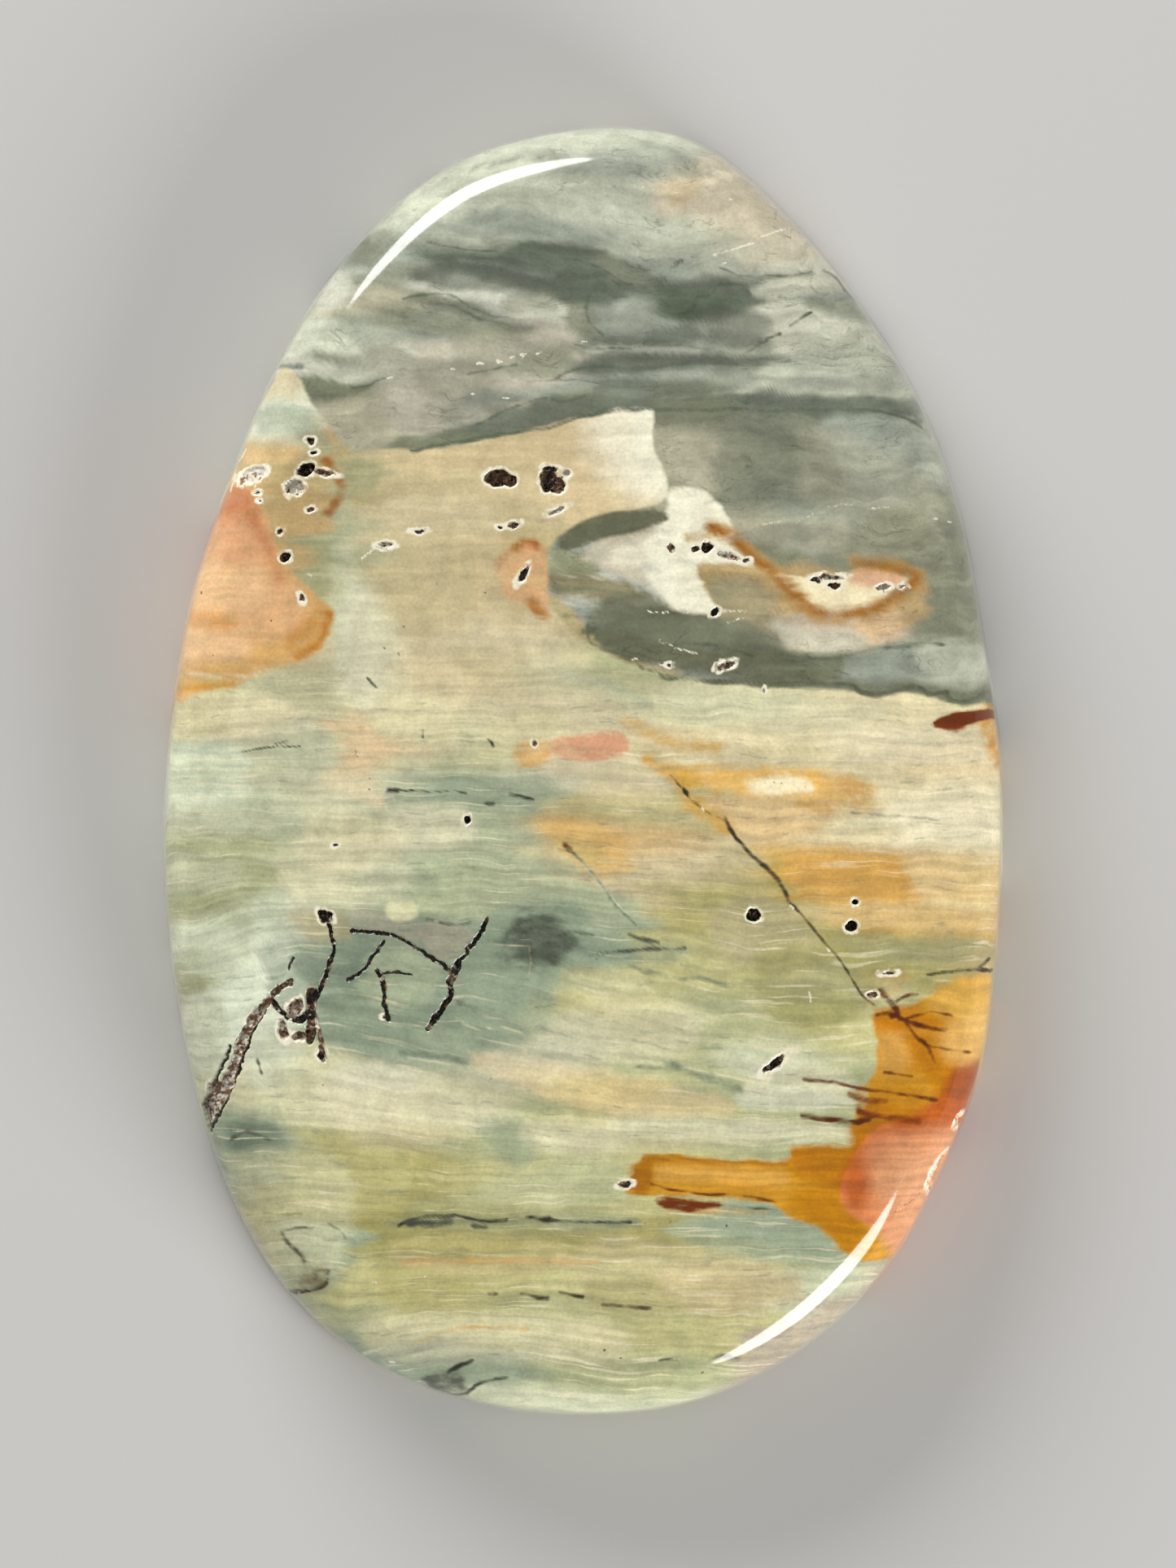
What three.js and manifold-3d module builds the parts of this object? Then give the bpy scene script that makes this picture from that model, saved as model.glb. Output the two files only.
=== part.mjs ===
// A freeform oval cabochon of petrified-wood jasper. It is one polished stone with a flat lapped back,
// a low upright edge, a rounded shoulder and a gently domed crown. The polish has opened small
// crystal-lined vugs, a ragged fissure and a few root-like grooves, which are cut into the solid.
//
// Units are millimetres, +Z up. The origin lies on the plane of the back, under the middle of the
// stone's length and width. +Y runs along the stone to its narrow end, and +X to the right of that,
// looking down on the polished face.

import * as THREE from "three";
import { mergeVertices } from "three/addons/utils/BufferGeometryUtils.js";
import Module from "manifold-3d";

// Driving dimensions of the stone
const LENGTH = 50;
const WIDTH = 32.6;
const THICKNESS = 6;
const BACK_BEVEL = 0.5; // the small chamfer round the flat back
const EDGE_TOP = 2.1; // height where the upright edge turns into the shoulder
const EDGE_DRAFT = 0.15; // how far the upright edge leans in over that height
const SHOULDER_REACH = 2.8; // how far the shoulder runs in from the edge, as a full quarter turn
const SHOULDER_TURN = THREE.MathUtils.degToRad(83); // where the shoulder's arc meets the crown
const CROWN_RISE = 1.15; // how far the crown stands above the end of the shoulder

// Fineness of the faceted solid
const AROUND = 112;
const SHOULDER_STEPS = 7;
const CROWN_STEPS = 6;

// The outline, anticlockwise from the right-hand side, one point about every 4.5 mm. A smooth closed
// curve runs through them. The stone is egg-shaped, with a flattened corner at its upper right.
const OUTLINE = [
  [16.15, 1.5], [15.55, 5.35], [14.65, 10.1], [13.2, 14.1], [10.85, 18.0], [7.85, 21.65],
  [4.7, 24.3], [1.7, 25], [-2.1, 24.6], [-5.55, 23.3], [-9.1, 20.1], [-11.7, 16.1],
  [-13.75, 11.3], [-15.2, 6.85], [-16.0, 2.1], [-16.3, -2.6], [-16.0, -7.35], [-15.1, -12.25],
  [-13.75, -16.35], [-11.6, -20.05], [-8.35, -22.9], [-4.3, -24.5], [0, -25], [4.45, -24.45],
  [8.5, -22.45], [11.9, -19.15], [14.0, -15.3], [15.45, -11.5], [16.1, -6.7], [16.3, -2.0],
];

// Vugs: the middle, length and width at the face, depth, and the turn of the length from +X in degrees
const VUGS = [
  { at: [-3.26, 11.22], size: [1.35, 0.8], depth: 0.6, turn: 0 },
  { at: [-1.21, 11.19], size: [1.1, 1.15], depth: 0.7, turn: 20 },
  { at: [-0.61, 11.41], size: [0.5, 0.4], depth: 0.3, turn: 0 },
  { at: [-1.02, 9.96], size: [0.8, 0.3], depth: 0.2, turn: 28 },
  { at: [-2.63, 9.43], size: [0.6, 0.28], depth: 0.2, turn: 20 },
  { at: [-2.32, 7.53], size: [0.9, 0.4], depth: 0.3, turn: 60 },
  { at: [-10.48, 12.7], size: [0.5, 0.4], depth: 0.35, turn: 15 },
  { at: [-10.6, 11.6], size: [0.95, 0.65], depth: 0.7, turn: 35 },
  { at: [-9.95, 11.42], size: [0.9, 0.28], depth: 0.3, turn: -12 },
  { at: [-11.3, 10.85], size: [0.7, 0.5], depth: 0.4, turn: 60 },
  { at: [-10.9, 10.72], size: [0.55, 0.5], depth: 0.35, turn: 0 },
  { at: [-11.44, 8.2], size: [0.6, 0.55], depth: 0.45, turn: 0 },
  { at: [-10.86, 6.62], size: [0.6, 0.35], depth: 0.3, turn: 110 },
  { at: [-12.6, 11.45], size: [1.3, 0.5], depth: 0.35, turn: 20 },
  { at: [4.74, 8.58], size: [0.62, 0.56], depth: 0.5, turn: 0 },
  { at: [5.56, 8.26], size: [1.1, 0.45], depth: 0.28, turn: -22 },
  { at: [9.51, 7.4], size: [1.3, 0.35], depth: 0.25, turn: 0 },
  { at: [9.66, 7.09], size: [0.65, 0.4], depth: 0.4, turn: 0 },
  { at: [11.55, 7.03], size: [0.65, 0.4], depth: 0.25, turn: 15 },
  { at: [5.06, 6.08], size: [0.5, 0.35], depth: 0.3, turn: 25 },
  { at: [5.47, 4.04], size: [0.8, 0.42], depth: 0.28, turn: 20 },
  { at: [6.57, -5.55], size: [0.7, 0.62], depth: 0.5, turn: -10 },
  { at: [10.32, -6.02], size: [0.64, 0.58], depth: 0.5, turn: 0 },
  { at: [10.45, -5.08], size: [0.36, 0.34], depth: 0.25, turn: 0 },
  { at: [11.14, -8.61], size: [0.5, 0.42], depth: 0.22, turn: 0 },
  { at: [7.33, -11.29], size: [1.35, 0.42], depth: 0.45, turn: 42 },
  { at: [-4.46, -1.89], size: [0.5, 0.38], depth: 0.35, turn: 70 },
  { at: [-11.2, -9.75], size: [1.5, 1.2], depth: 0.4, turn: 70 },
  { at: [-10.17, -5.5], size: [0.75, 0.45], depth: 0.35, turn: -35 },
];

// Grooves: the route of each across the face, from end to end, its width and its depth
const GROOVES = [
  { name: "fissure foot", width: 0.6, depth: 0.45,
    route: [[-14.9, -14.2], [-14.3, -13.3], [-13.7, -12.2], [-13.2, -11.0]] },
  { name: "fissure head", width: 0.42, depth: 0.35,
    route: [[-13.3, -11.2], [-12.85, -9.75], [-12.15, -9.02], [-11.77, -8.42], [-11.35, -8.15]] },
  { name: "fissure side", width: 0.4, depth: 0.3,
    route: [[-10.42, -8.5], [-10.5, -9.6], [-10.25, -10.3], [-10.04, -11.1]] },
  { name: "fissure strand", width: 0.26, depth: 0.2,
    route: [[-10.35, -8.9], [-10.0, -8.0], [-9.62, -6.8], [-9.8, -5.9]] },
  { name: "long root", width: 0.24, depth: 0.18,
    route: [[-8.9, -6.15], [-7.3, -6.35], [-6.1, -6.9], [-5.2, -7.7]] },
  { name: "short root", width: 0.2, depth: 0.16,
    route: [[-7.6, -6.6], [-8.3, -7.5], [-9.05, -8.1]] },
  { name: "thick root", width: 0.34, depth: 0.24,
    route: [[-3.7, -5.75], [-4.5, -7.0], [-5.15, -8.2], [-5.2, -8.8], [-5.95, -9.9]] },
  { name: "hooked root", width: 0.28, depth: 0.2,
    route: [[-7.85, -7.75], [-7.6, -8.7], [-7.5, -9.6]] },
];
const GROOVE_SIDES = 6;
const GROOVE_STEPS = 10;

// How far the cutting pebbles depart from true ovals, as a share, and how fast that varies
const LUMPS = { share: 0.12, across: 9, along: 11, shift: 7 };
const WELD = 1e-4; // corners closer than this are one

// Shallow flaws on the shoulder and edge: the middle, the full size, and the turn from +X in degrees
const CHIPS = [
  { name: "crystal chip at the lower right", at: [14.1, -16.3, 3.0], size: [3.4, 0.9, 1.6], turn: 61 },
  { name: "dished flaw at the upper right", at: [9.9, 18.2, 5.15], size: [2.2, 1.1, 0.9], turn: -42 },
  { name: "foot of the fissure", at: [-15.15, -14.6, 2.6], size: [1.2, 0.8, 2.6], turn: 60 },
];

const FACE_COLOUR = 0xb9bf9b;
const POLISH_ROUGHNESS = 0.12;

// Points of the closed outline, equally spaced and fitted to the stone's length and width
function outlinePoints() {
  const knots = OUTLINE.map(([x, y]) => new THREE.Vector3(x, y, 0));
  const curve = new THREE.CatmullRomCurve3(knots, true, "centripetal");
  const points = curve.getSpacedPoints(AROUND).slice(0, AROUND);
  const box = new THREE.Box3().setFromPoints(points);
  const middle = box.getCenter(new THREE.Vector3());
  const extent = box.getSize(new THREE.Vector3());
  return points.map(
    (p) => new THREE.Vector2(((p.x - middle.x) * WIDTH) / extent.x, ((p.y - middle.y) * LENGTH) / extent.y),
  );
}

// The outline moved inwards, square to itself
function insetRing(outline, inset) {
  return outline.map((p, i) => {
    const before = outline.at(i - 1);
    const after = outline[(i + 1) % outline.length];
    const along = after.clone().sub(before).normalize();
    return new THREE.Vector2(p.x - along.y * inset, p.y + along.x * inset);
  });
}

// The rings of the stone from the back to the top of the crown, each with its points and height
function stoneRings() {
  const outline = outlinePoints();
  const shoulderRise = (THICKNESS - CROWN_RISE - EDGE_TOP) / Math.sin(SHOULDER_TURN);
  const rings = [
    { points: insetRing(outline, BACK_BEVEL), z: 0 },
    { points: outline, z: BACK_BEVEL },
  ];
  for (let step = 0; step <= SHOULDER_STEPS; step++) {
    const angle = (step / SHOULDER_STEPS) * SHOULDER_TURN;
    const inset = EDGE_DRAFT + SHOULDER_REACH * (1 - Math.cos(angle));
    rings.push({ points: insetRing(outline, inset), z: EDGE_TOP + shoulderRise * Math.sin(angle) });
  }
  const rim = rings.at(-1);
  for (let step = 1; step < CROWN_STEPS; step++) {
    const share = 1 - step / CROWN_STEPS;
    rings.push({
      points: rim.points.map((p) => p.clone().multiplyScalar(share)),
      z: rim.z + CROWN_RISE * (1 - share * share),
    });
  }
  return rings;
}

// A closed body through rings of equal count, with a fan at each end
function bodyThrough(rings, topHeight) {
  const places = rings.flatMap(({ points, z }) => points.flatMap((p) => [p.x, p.y, z]));
  const foot = rings.length * AROUND;
  const top = foot + 1;
  places.push(0, 0, rings[0].z, 0, 0, topHeight);
  const faces = [];
  for (let i = 0; i < AROUND; i++) {
    const next = (i + 1) % AROUND;
    const last = (rings.length - 1) * AROUND;
    faces.push(foot, next, i, top, last + i, last + next);
    for (let ring = 0; ring < rings.length - 1; ring++) {
      const low = ring * AROUND;
      const high = low + AROUND;
      faces.push(low + i, low + next, high + next, low + i, high + next, high + i);
    }
  }
  const geometry = new THREE.BufferGeometry();
  geometry.setAttribute("position", new THREE.Float32BufferAttribute(places, 3));
  geometry.setIndex(faces);
  return geometry;
}

// Finds the polished face under a place seen from above, or the shoulder's foot beside the stone
function faceFinder(geometry) {
  const target = new THREE.Mesh(geometry, new THREE.MeshBasicMaterial());
  const down = new THREE.Vector3(0, 0, -1);
  return ([x, y]) => {
    const ray = new THREE.Raycaster(new THREE.Vector3(x, y, 2 * THICKNESS), down);
    const hit = ray.intersectObject(target)[0];
    return hit ? hit.point : new THREE.Vector3(x, y, EDGE_TOP);
  };
}

// A lumpy closed pebble of the given full size, used to cut a hollow. It starts as a ball 1 mm across.
function pebble(size, turn, seed) {
  const geometry = new THREE.IcosahedronGeometry(0.5, 1);
  const position = geometry.getAttribute("position");
  const phase = LUMPS.shift * seed;
  const v = new THREE.Vector3();
  for (let i = 0; i < position.count; i++) {
    v.fromBufferAttribute(position, i);
    const wave = Math.sin(LUMPS.across * v.x + phase) * Math.cos(LUMPS.along * v.y - phase);
    v.multiplyScalar(1 + LUMPS.share * wave);
    position.setXYZ(i, v.x, v.y, v.z);
  }
  return geometry.scale(...size).rotateZ(THREE.MathUtils.degToRad(turn));
}

function vugCutter({ at, size, depth, turn }, seed, onFace) {
  const middle = onFace(at);
  return pebble([...size, 2 * depth], turn, seed).translate(middle.x, middle.y, middle.z);
}

function chipCutter({ at, size, turn }, seed) {
  return pebble(size, turn, seed).translate(...at);
}

// A many-sided rod laid along a route on the face, half sunk, used to cut a groove
function grooveCutter({ route, width, depth }, onFace) {
  const path = new THREE.CatmullRomCurve3(route.map(onFace));
  const section = new THREE.Shape();
  for (let side = 0; side < GROOVE_SIDES; side++) {
    const angle = (2 * Math.PI * side) / GROOVE_SIDES;
    const x = depth * Math.cos(angle);
    const y = (width / 2) * Math.sin(angle);
    if (side) section.lineTo(x, y);
    else section.moveTo(x, y);
  }
  section.closePath();
  return new THREE.ExtrudeGeometry(section, {
    steps: GROOVE_STEPS, bevelEnabled: false, extrudePath: path,
  });
}

const wasm = await Module();
wasm.setup();

function toSolid(geometry) {
  const bare = geometry.clone();
  bare.deleteAttribute("normal");
  bare.deleteAttribute("uv");
  const merged = mergeVertices(bare, WELD);
  return new wasm.Manifold(
    new wasm.Mesh({
      numProp: 3,
      vertProperties: merged.getAttribute("position").array,
      triVerts: new Uint32Array(merged.index.array),
    }),
  );
}

function toGeometry(solid) {
  const { vertProperties, triVerts } = solid.getMesh();
  const geometry = new THREE.BufferGeometry();
  geometry.setAttribute("position", new THREE.BufferAttribute(vertProperties, 3));
  geometry.setIndex(new THREE.BufferAttribute(triVerts, 1));
  geometry.computeVertexNormals();
  return geometry;
}

function makeStone() {
  const body = bodyThrough(stoneRings(), THICKNESS);
  const onFace = faceFinder(body);
  const cutters = [
    ...VUGS.map((vug, seed) => vugCutter(vug, seed, onFace)),
    ...GROOVES.map((groove) => grooveCutter(groove, onFace)),
    ...CHIPS.map(chipCutter),
  ];
  const stone = cutters.reduce((solid, cutter) => solid.subtract(toSolid(cutter)), toSolid(body));
  const polish = new THREE.MeshStandardMaterial({
    color: FACE_COLOUR, roughness: POLISH_ROUGHNESS, metalness: 0,
  });
  const mesh = new THREE.Mesh(toGeometry(stone), polish);
  mesh.name = "cabochon";
  return mesh;
}

const cabochon = new THREE.Group();
cabochon.add(makeStone());

export default cabochon;
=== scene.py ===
"""A polished freeform cabochon of petrified-wood jasper, lying on its flat back on a pale floor.

Sizes and places are written in millimetres, in the frame of the stone: +Z up out of the polished face,
+Y along the stone to its narrow end, +X to the right of that seen from above. Blender gets metres.
"""

import logging
import math
from dataclasses import dataclass, field
from enum import Enum

import bpy
import numpy as np
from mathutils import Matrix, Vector, noise


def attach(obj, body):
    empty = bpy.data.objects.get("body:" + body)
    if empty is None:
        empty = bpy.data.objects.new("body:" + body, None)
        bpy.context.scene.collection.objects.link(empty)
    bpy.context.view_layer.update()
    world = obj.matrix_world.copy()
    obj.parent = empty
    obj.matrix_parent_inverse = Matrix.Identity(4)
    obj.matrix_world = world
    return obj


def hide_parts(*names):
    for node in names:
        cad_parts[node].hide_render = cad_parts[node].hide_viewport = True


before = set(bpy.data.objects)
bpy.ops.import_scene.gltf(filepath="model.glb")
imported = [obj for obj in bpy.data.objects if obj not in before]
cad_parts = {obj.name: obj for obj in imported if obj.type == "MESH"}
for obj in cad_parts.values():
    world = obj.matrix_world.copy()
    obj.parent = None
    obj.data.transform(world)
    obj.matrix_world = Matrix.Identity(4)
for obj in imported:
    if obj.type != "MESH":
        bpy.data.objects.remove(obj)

MM = 0.001
TINY = 1e-9        # keeps a division by nothing from failing
FULL_LEVEL = 30.0  # levels are counted no further than this from a shape's edge
FAR_OFF = -1.0     # level in millimetres of a place far from every hollow, grain and fleck
NEAR_BY = 0.6      # places further than this past a shape's soft edge aren't measured
log = logging.getLogger("cabochon")

Route = tuple[float, ...]  # x and y in turn
Colour = tuple[float, float, float, float]  # in linear light
Socket = bpy.types.NodeSocket


class Tint(Enum):
    """The mineral colours of the stone, as sRGB."""

    # Silicified wood
    SAGE = 0xB9BB91
    PALE_SAGE = 0xCED1B2
    MIST = 0xA3AE93
    TEAL = 0x727F6D
    BLUE_GREY = 0x95A28A
    SEA_GREEN = 0xB7BE9D
    LIME = 0xC0C59F
    MILK = 0xDDE1C9
    FROST = 0xEDF4D9
    OATMEAL = 0xDDDAB3
    STRAW = 0xCDC893
    BUTTER = 0xE7DBB3
    VELLUM = 0xF3E9C8
    TAN = 0xCEC19C
    SAND = 0xBFAF82
    WHEAT = 0xDDCAA1
    BISCUIT = 0xC3A97B
    LICHEN = 0xA4A47E
    OLIVE = 0xB1A971
    DRAB = 0xA19D67
    OCHRE_WASH = 0xDFB467
    APRICOT = 0xDFC08E
    PUTTY = 0xBCB09A
    # Ash-green chert
    ASH = 0xB1B4A2
    ASH_PALE = 0xC1C4AF
    ASH_PINK = 0xBFBAA7
    ASH_DARK = 0x697162
    ASH_GREEN = 0x9CA293
    SLATE = 0x6C7264
    SLATE_DEEP = 0x5C6554
    MOSS = 0x7A7E67
    MOSS_GREY = 0x808370
    LENS_GREEN = 0x696A53
    OLIVE_GREY = 0x8F917A
    WARM_GREY = 0xB3AF97
    BONE = 0xCECEB9
    CHALK = 0xCBCCBA
    ROSE_CREAM = 0xD5CBB2
    ROSE_WHITE = 0xDBCAAF
    # Chalcedony and iron stains
    WHITE = 0xFFFCE2
    CREAM = 0xFCF5DA
    LENS_CREAM = 0xFFF2CA
    PEACH = 0xEBBC8F
    PALE_PEACH = 0xF4CC9F
    ROSE = 0xD9A585
    SALMON = 0xE8986C
    CORAL = 0xDEA983
    ORANGE = 0xDEAE6D
    HONEY = 0xDAB077
    SUN = 0xFACE85
    OCHRE = 0xD69E4B
    DEEP_OCHRE = 0xBB7622
    AMBER = 0xCA8941
    GOLD = 0xE9C67B
    RUST = 0x9A5B24
    LENS_RUST = 0xA87036
    FAWN = 0xBD9963
    RED_EARTH = 0xAF5325
    MAROON = 0x8A492C
    CHESTNUT = 0x743000
    LIVER = 0x5A2409
    INK = 0x4B5143
    SOOT = 0x2C2C22
    SEAL = 0x3F3524
    UMBER = 0x8C7F5A
    CORN = 0xE6D39B

    @property
    def linear(self) -> np.ndarray:
        """The colour in linear light."""
        srgb = np.array([self.value >> shift & 0xFF for shift in (16, 8, 0)]) / 255
        return np.where(srgb <= 0.04045, srgb / 12.92, ((srgb + 0.055) / 1.055) ** 2.4)

    @property
    def paint(self) -> Colour:
        """The same colour as a shader node takes it."""
        return (*self.linear, 1.0)


class Lining(Enum):
    """What lines a hollow, from brown-black iron oxide to white quartz."""

    DARK = 0.0
    BROWN = 0.25
    GREY = 0.7
    DRUSE = 1.0


@dataclass(frozen=True)
class Blot:
    """A soft oval of colour: its tint, middle, half length and half width, and turn in degrees."""

    tint: Tint
    x: float
    y: float
    long: float
    wide: float
    turn: float = 0.0


@dataclass(frozen=True)
class Patch:
    """A closed area of colour: its tint, corner route, half width of its soft edge, and strength."""

    tint: Tint
    route: Route
    soft: float = 0.06
    strength: float = 1.0


@dataclass(frozen=True)
class Streak:
    """A line of colour: its tint, route, width, half width of its soft edge, and strength."""

    tint: Tint
    route: Route
    width: float = 0.15
    soft: float = 0.05
    strength: float = 1.0


@dataclass(frozen=True)
class Vug:
    """A small hollow: its middle, half length, half width, depth, turn in degrees and lining."""

    x: float
    y: float
    long: float
    wide: float
    depth: float = 0.3
    turn: float = 0.0
    lining: Lining = Lining.DARK


@dataclass(frozen=True)
class Groove:
    """A narrow open seam: its route, width, depth and lining."""

    route: Route
    width: float
    depth: float
    lining: Lining = Lining.DARK


@dataclass(frozen=True)
class Fold:
    """A rise of the bedding over an oval: its middle, half length, half width and rise."""

    x: float
    y: float
    long: float
    wide: float
    rise: float


@dataclass(frozen=True)
class Step:
    """A drop of the bedding to the right of x: its run, how far, and where and how broadly along y."""

    x: float
    run: float
    rise: float
    y: float
    reach: float


# The silicified wood's ground colours, and a painted pale sheen on the lower-right shoulder
WOOD: tuple[Blot, ...] = (
    Blot(Tint.MILK, -12.2, 13.2, 1.4, 0.7), Blot(Tint.APRICOT, -12.4, 12.2, 1.2, 0.5),
    Blot(Tint.BISCUIT, -10.3, 10.9, 1, 1.5), Blot(Tint.LICHEN, -9, 8.5, 0.8, 1.8),
    Blot(Tint.TAN, -6.5, 10.5, 2.2, 1), Blot(Tint.SAND, -4.5, 8, 2.4, 1.2),
    Blot(Tint.TAN, -3.5, 10.2, 1.8, 1), Blot(Tint.WHEAT, 0.5, 11, 1.2, 1.4),
    Blot(Tint.SAND, -6, 6.5, 2, 1.2), Blot(Tint.TAN, -2.8, 5.2, 2.2, 1),
    Blot(Tint.WHEAT, -5.5, 11.8, 2.8, 0.4), Blot(Tint.SAND, -4.5, 4, 3.2, 1), Blot(Tint.SAGE, 0, 3.6, 2, 1),
    Blot(Tint.TAN, -1, 2.4, 2.8, 0.9), Blot(Tint.OATMEAL, 4, 2.4, 3, 0.7),
    Blot(Tint.BUTTER, 10, 1.6, 4, 0.9), Blot(Tint.BUTTER, 6.5, 1.1, 2.4, 0.7),
    Blot(Tint.WHEAT, 14.5, 0.4, 2, 0.8), Blot(Tint.BUTTER, 13.5, -1, 2.6, 0.8),
    Blot(Tint.VELLUM, 14.2, -2.2, 2.8, 0.7), Blot(Tint.BUTTER, 9.4, -2.3, 2.4, 0.6),
    Blot(Tint.OCHRE_WASH, 9, -3.6, 2.2, 0.7), Blot(Tint.OCHRE_WASH, 13.5, -4.2, 2.6, 0.8),
    Blot(Tint.OCHRE_WASH, 13.5, -5.8, 2.4, 0.7), Blot(Tint.OLIVE, 12.6, -7, 2.6, 0.7),
    Blot(Tint.SAND, 14.8, -7, 1.4, 0.6), Blot(Tint.OLIVE, 8, -6.8, 2, 0.9),
    Blot(Tint.OLIVE, 5.5, -4.6, 2, 1), Blot(Tint.STRAW, 6, -7.5, 2, 0.8),
    Blot(Tint.SAGE, 4.5, -9.6, 2.6, 0.9), Blot(Tint.STRAW, 8.8, -9.6, 1.8, 1),
    Blot(Tint.OATMEAL, 9.3, -8, 1.4, 0.7), Blot(Tint.APRICOT, 1, -2.8, 2.2, 0.8),
    Blot(Tint.TAN, 3.4, -4, 2, 0.9), Blot(Tint.SAND, 1.6, 0.2, 1.6, 1), Blot(Tint.SAGE, 2, -1.6, 2, 0.7),
    Blot(Tint.SAGE, -12.5, 2.2, 3.2, 0.7), Blot(Tint.SAGE, -14.6, 0.2, 2.2, 1.1),
    Blot(Tint.PALE_SAGE, -13.8, -1.4, 2.4, 0.9), Blot(Tint.SAGE, -14.2, -4, 2, 1.2),
    Blot(Tint.SEA_GREEN, -11.4, -0.6, 1.8, 1.1), Blot(Tint.APRICOT, -8.5, 1.2, 0.9, 0.9),
    Blot(Tint.SAGE, -5.8, 1.4, 2, 1.1), Blot(Tint.MIST, -5.6, -0.8, 2.4, 0.6),
    Blot(Tint.MIST, -2.6, -0.9, 1.4, 0.6), Blot(Tint.SEA_GREEN, -6, -2.6, 3, 0.9),
    Blot(Tint.LIME, -9, -3.6, 2.6, 0.8), Blot(Tint.SEA_GREEN, -3, -3.8, 2.4, 1),
    Blot(Tint.LIME, -6, -4.4, 2, 0.6), Blot(Tint.SEA_GREEN, -11.6, -5.4, 2, 0.8),
    Blot(Tint.FROST, -13.6, -7, 1.6, 1), Blot(Tint.FROST, -12.6, -9.2, 1.4, 1.3),
    Blot(Tint.MILK, -13.8, -9.2, 1.2, 1.2), Blot(Tint.SAGE, -14.8, -8, 0.8, 0.8),
    Blot(Tint.BLUE_GREY, -8, -6.4, 1.8, 0.8), Blot(Tint.TEAL, -8.7, -7.2, 0.7, 1.2),
    Blot(Tint.BLUE_GREY, -6.6, -8.6, 2.4, 1.2), Blot(Tint.BLUE_GREY, -3.4, -8.6, 1.6, 1.4),
    Blot(Tint.BLUE_GREY, -1.4, -7.6, 1.4, 0.9), Blot(Tint.MIST, -8.4, -10, 1.6, 0.8),
    Blot(Tint.MIST, -4.6, -10.4, 1.8, 0.6), Blot(Tint.MIST, 0.6, -6, 1.2, 0.8),
    Blot(Tint.STRAW, 1, -8.8, 2.2, 0.7), Blot(Tint.OATMEAL, -9.6, -12.4, 2.4, 1),
    Blot(Tint.OATMEAL, -11.6, -11.4, 1.4, 0.9), Blot(Tint.SAGE, -5, -12.2, 1.8, 0.7),
    Blot(Tint.PALE_SAGE, -6.6, -11.4, 1.6, 0.5), Blot(Tint.SAGE, -3, -14, 2.2, 1),
    Blot(Tint.STRAW, 2, -13.8, 2.2, 0.8), Blot(Tint.SAGE, 6.8, -13.2, 1.6, 0.7),
    Blot(Tint.PALE_SAGE, 8, -10.8, 1.4, 0.7), Blot(Tint.OLIVE, -8.4, -15.2, 2.6, 1.2),
    Blot(Tint.BLUE_GREY, -12.4, -14.6, 1.2, 0.9), Blot(Tint.MIST, -10, -18.6, 0.8, 0.9),
    Blot(Tint.DRAB, -4.2, -18.2, 2.6, 0.6), Blot(Tint.STRAW, -3.4, -15.8, 2.4, 0.7),
    Blot(Tint.STRAW, 0.4, -16.4, 1.8, 0.6), Blot(Tint.OLIVE, 1.6, -18.2, 2.6, 0.6),
    Blot(Tint.STRAW, -6.4, -19.6, 2.4, 0.6), Blot(Tint.STRAW, 0.4, -19.4, 3, 0.6),
    Blot(Tint.STRAW, 5.6, -19, 2.4, 0.6), Blot(Tint.PALE_SAGE, 8, -19.9, 1.6, 0.6),
    Blot(Tint.MIST, 8.6, -17.9, 1.7, 0.7), Blot(Tint.SAGE, -2.6, -21.3, 3.2, 0.7),
    Blot(Tint.STRAW, 3.2, -21.2, 2.6, 0.7), Blot(Tint.BLUE_GREY, -6.6, -22.6, 1.6, 0.7),
    Blot(Tint.MIST, -3.2, -22.9, 1.4, 0.5), Blot(Tint.SAGE, 1.2, -23.4, 2.4, 0.7),
    # the PUTTY blot at 8.4, -21.8 is painted light: the pale sheen the low lamp leaves on the lower-right
    # shoulder beyond its highlight
    Blot(Tint.PALE_SAGE, -1, -24.4, 4, 0.5), Blot(Tint.PUTTY, 8.4, -21.8, 2, 0.6, 35),
    Blot(Tint.SAGE, 9.4, -11.9, 1.3, 0.7),
)

# The outline of the ash-green chert, across the narrow end and down the right side
CHERT = Patch(Tint.ASH, (
    -12.6, 15.5, -11.6, 15.55, -11.1, 15.4, -10.75, 14.9, -10.5, 14.2, -10, 13.6, -9.5, 12.9,
    -9, 12.3, -8.6, 12.25, -7.6, 12.35, -6.6, 12.3, -5.2, 12.4, -4.2, 12.65, -3, 12.9,
    -1.6, 13.2, -0.5, 13.55, 0.6, 13.7, 1.4, 13.9, 2.65, 13.85, 2.65, 13.1, 2.75, 12.4,
    3.05, 11.6, 3.25, 10.8, 2.9, 10.2, 1.6, 10, 0.4, 9.75, -0.6, 9.2, -1.3, 8.5,
    -1.4, 7.3, -1.3, 6.4, -0.8, 5.7, -0.1, 5.1, 0.7, 4.65, 1.5, 4.2, 2.4, 3.85,
    4, 3.6, 6, 3.25, 8, 3.15, 10, 3.1, 11, 2.85, 12.5, 2.95, 13.6, 2.75, 14.6, 2.4,
    15.5, 2.7, 17, 2.6, 17, 27, -13, 27,
), soft=0.1)

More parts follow.
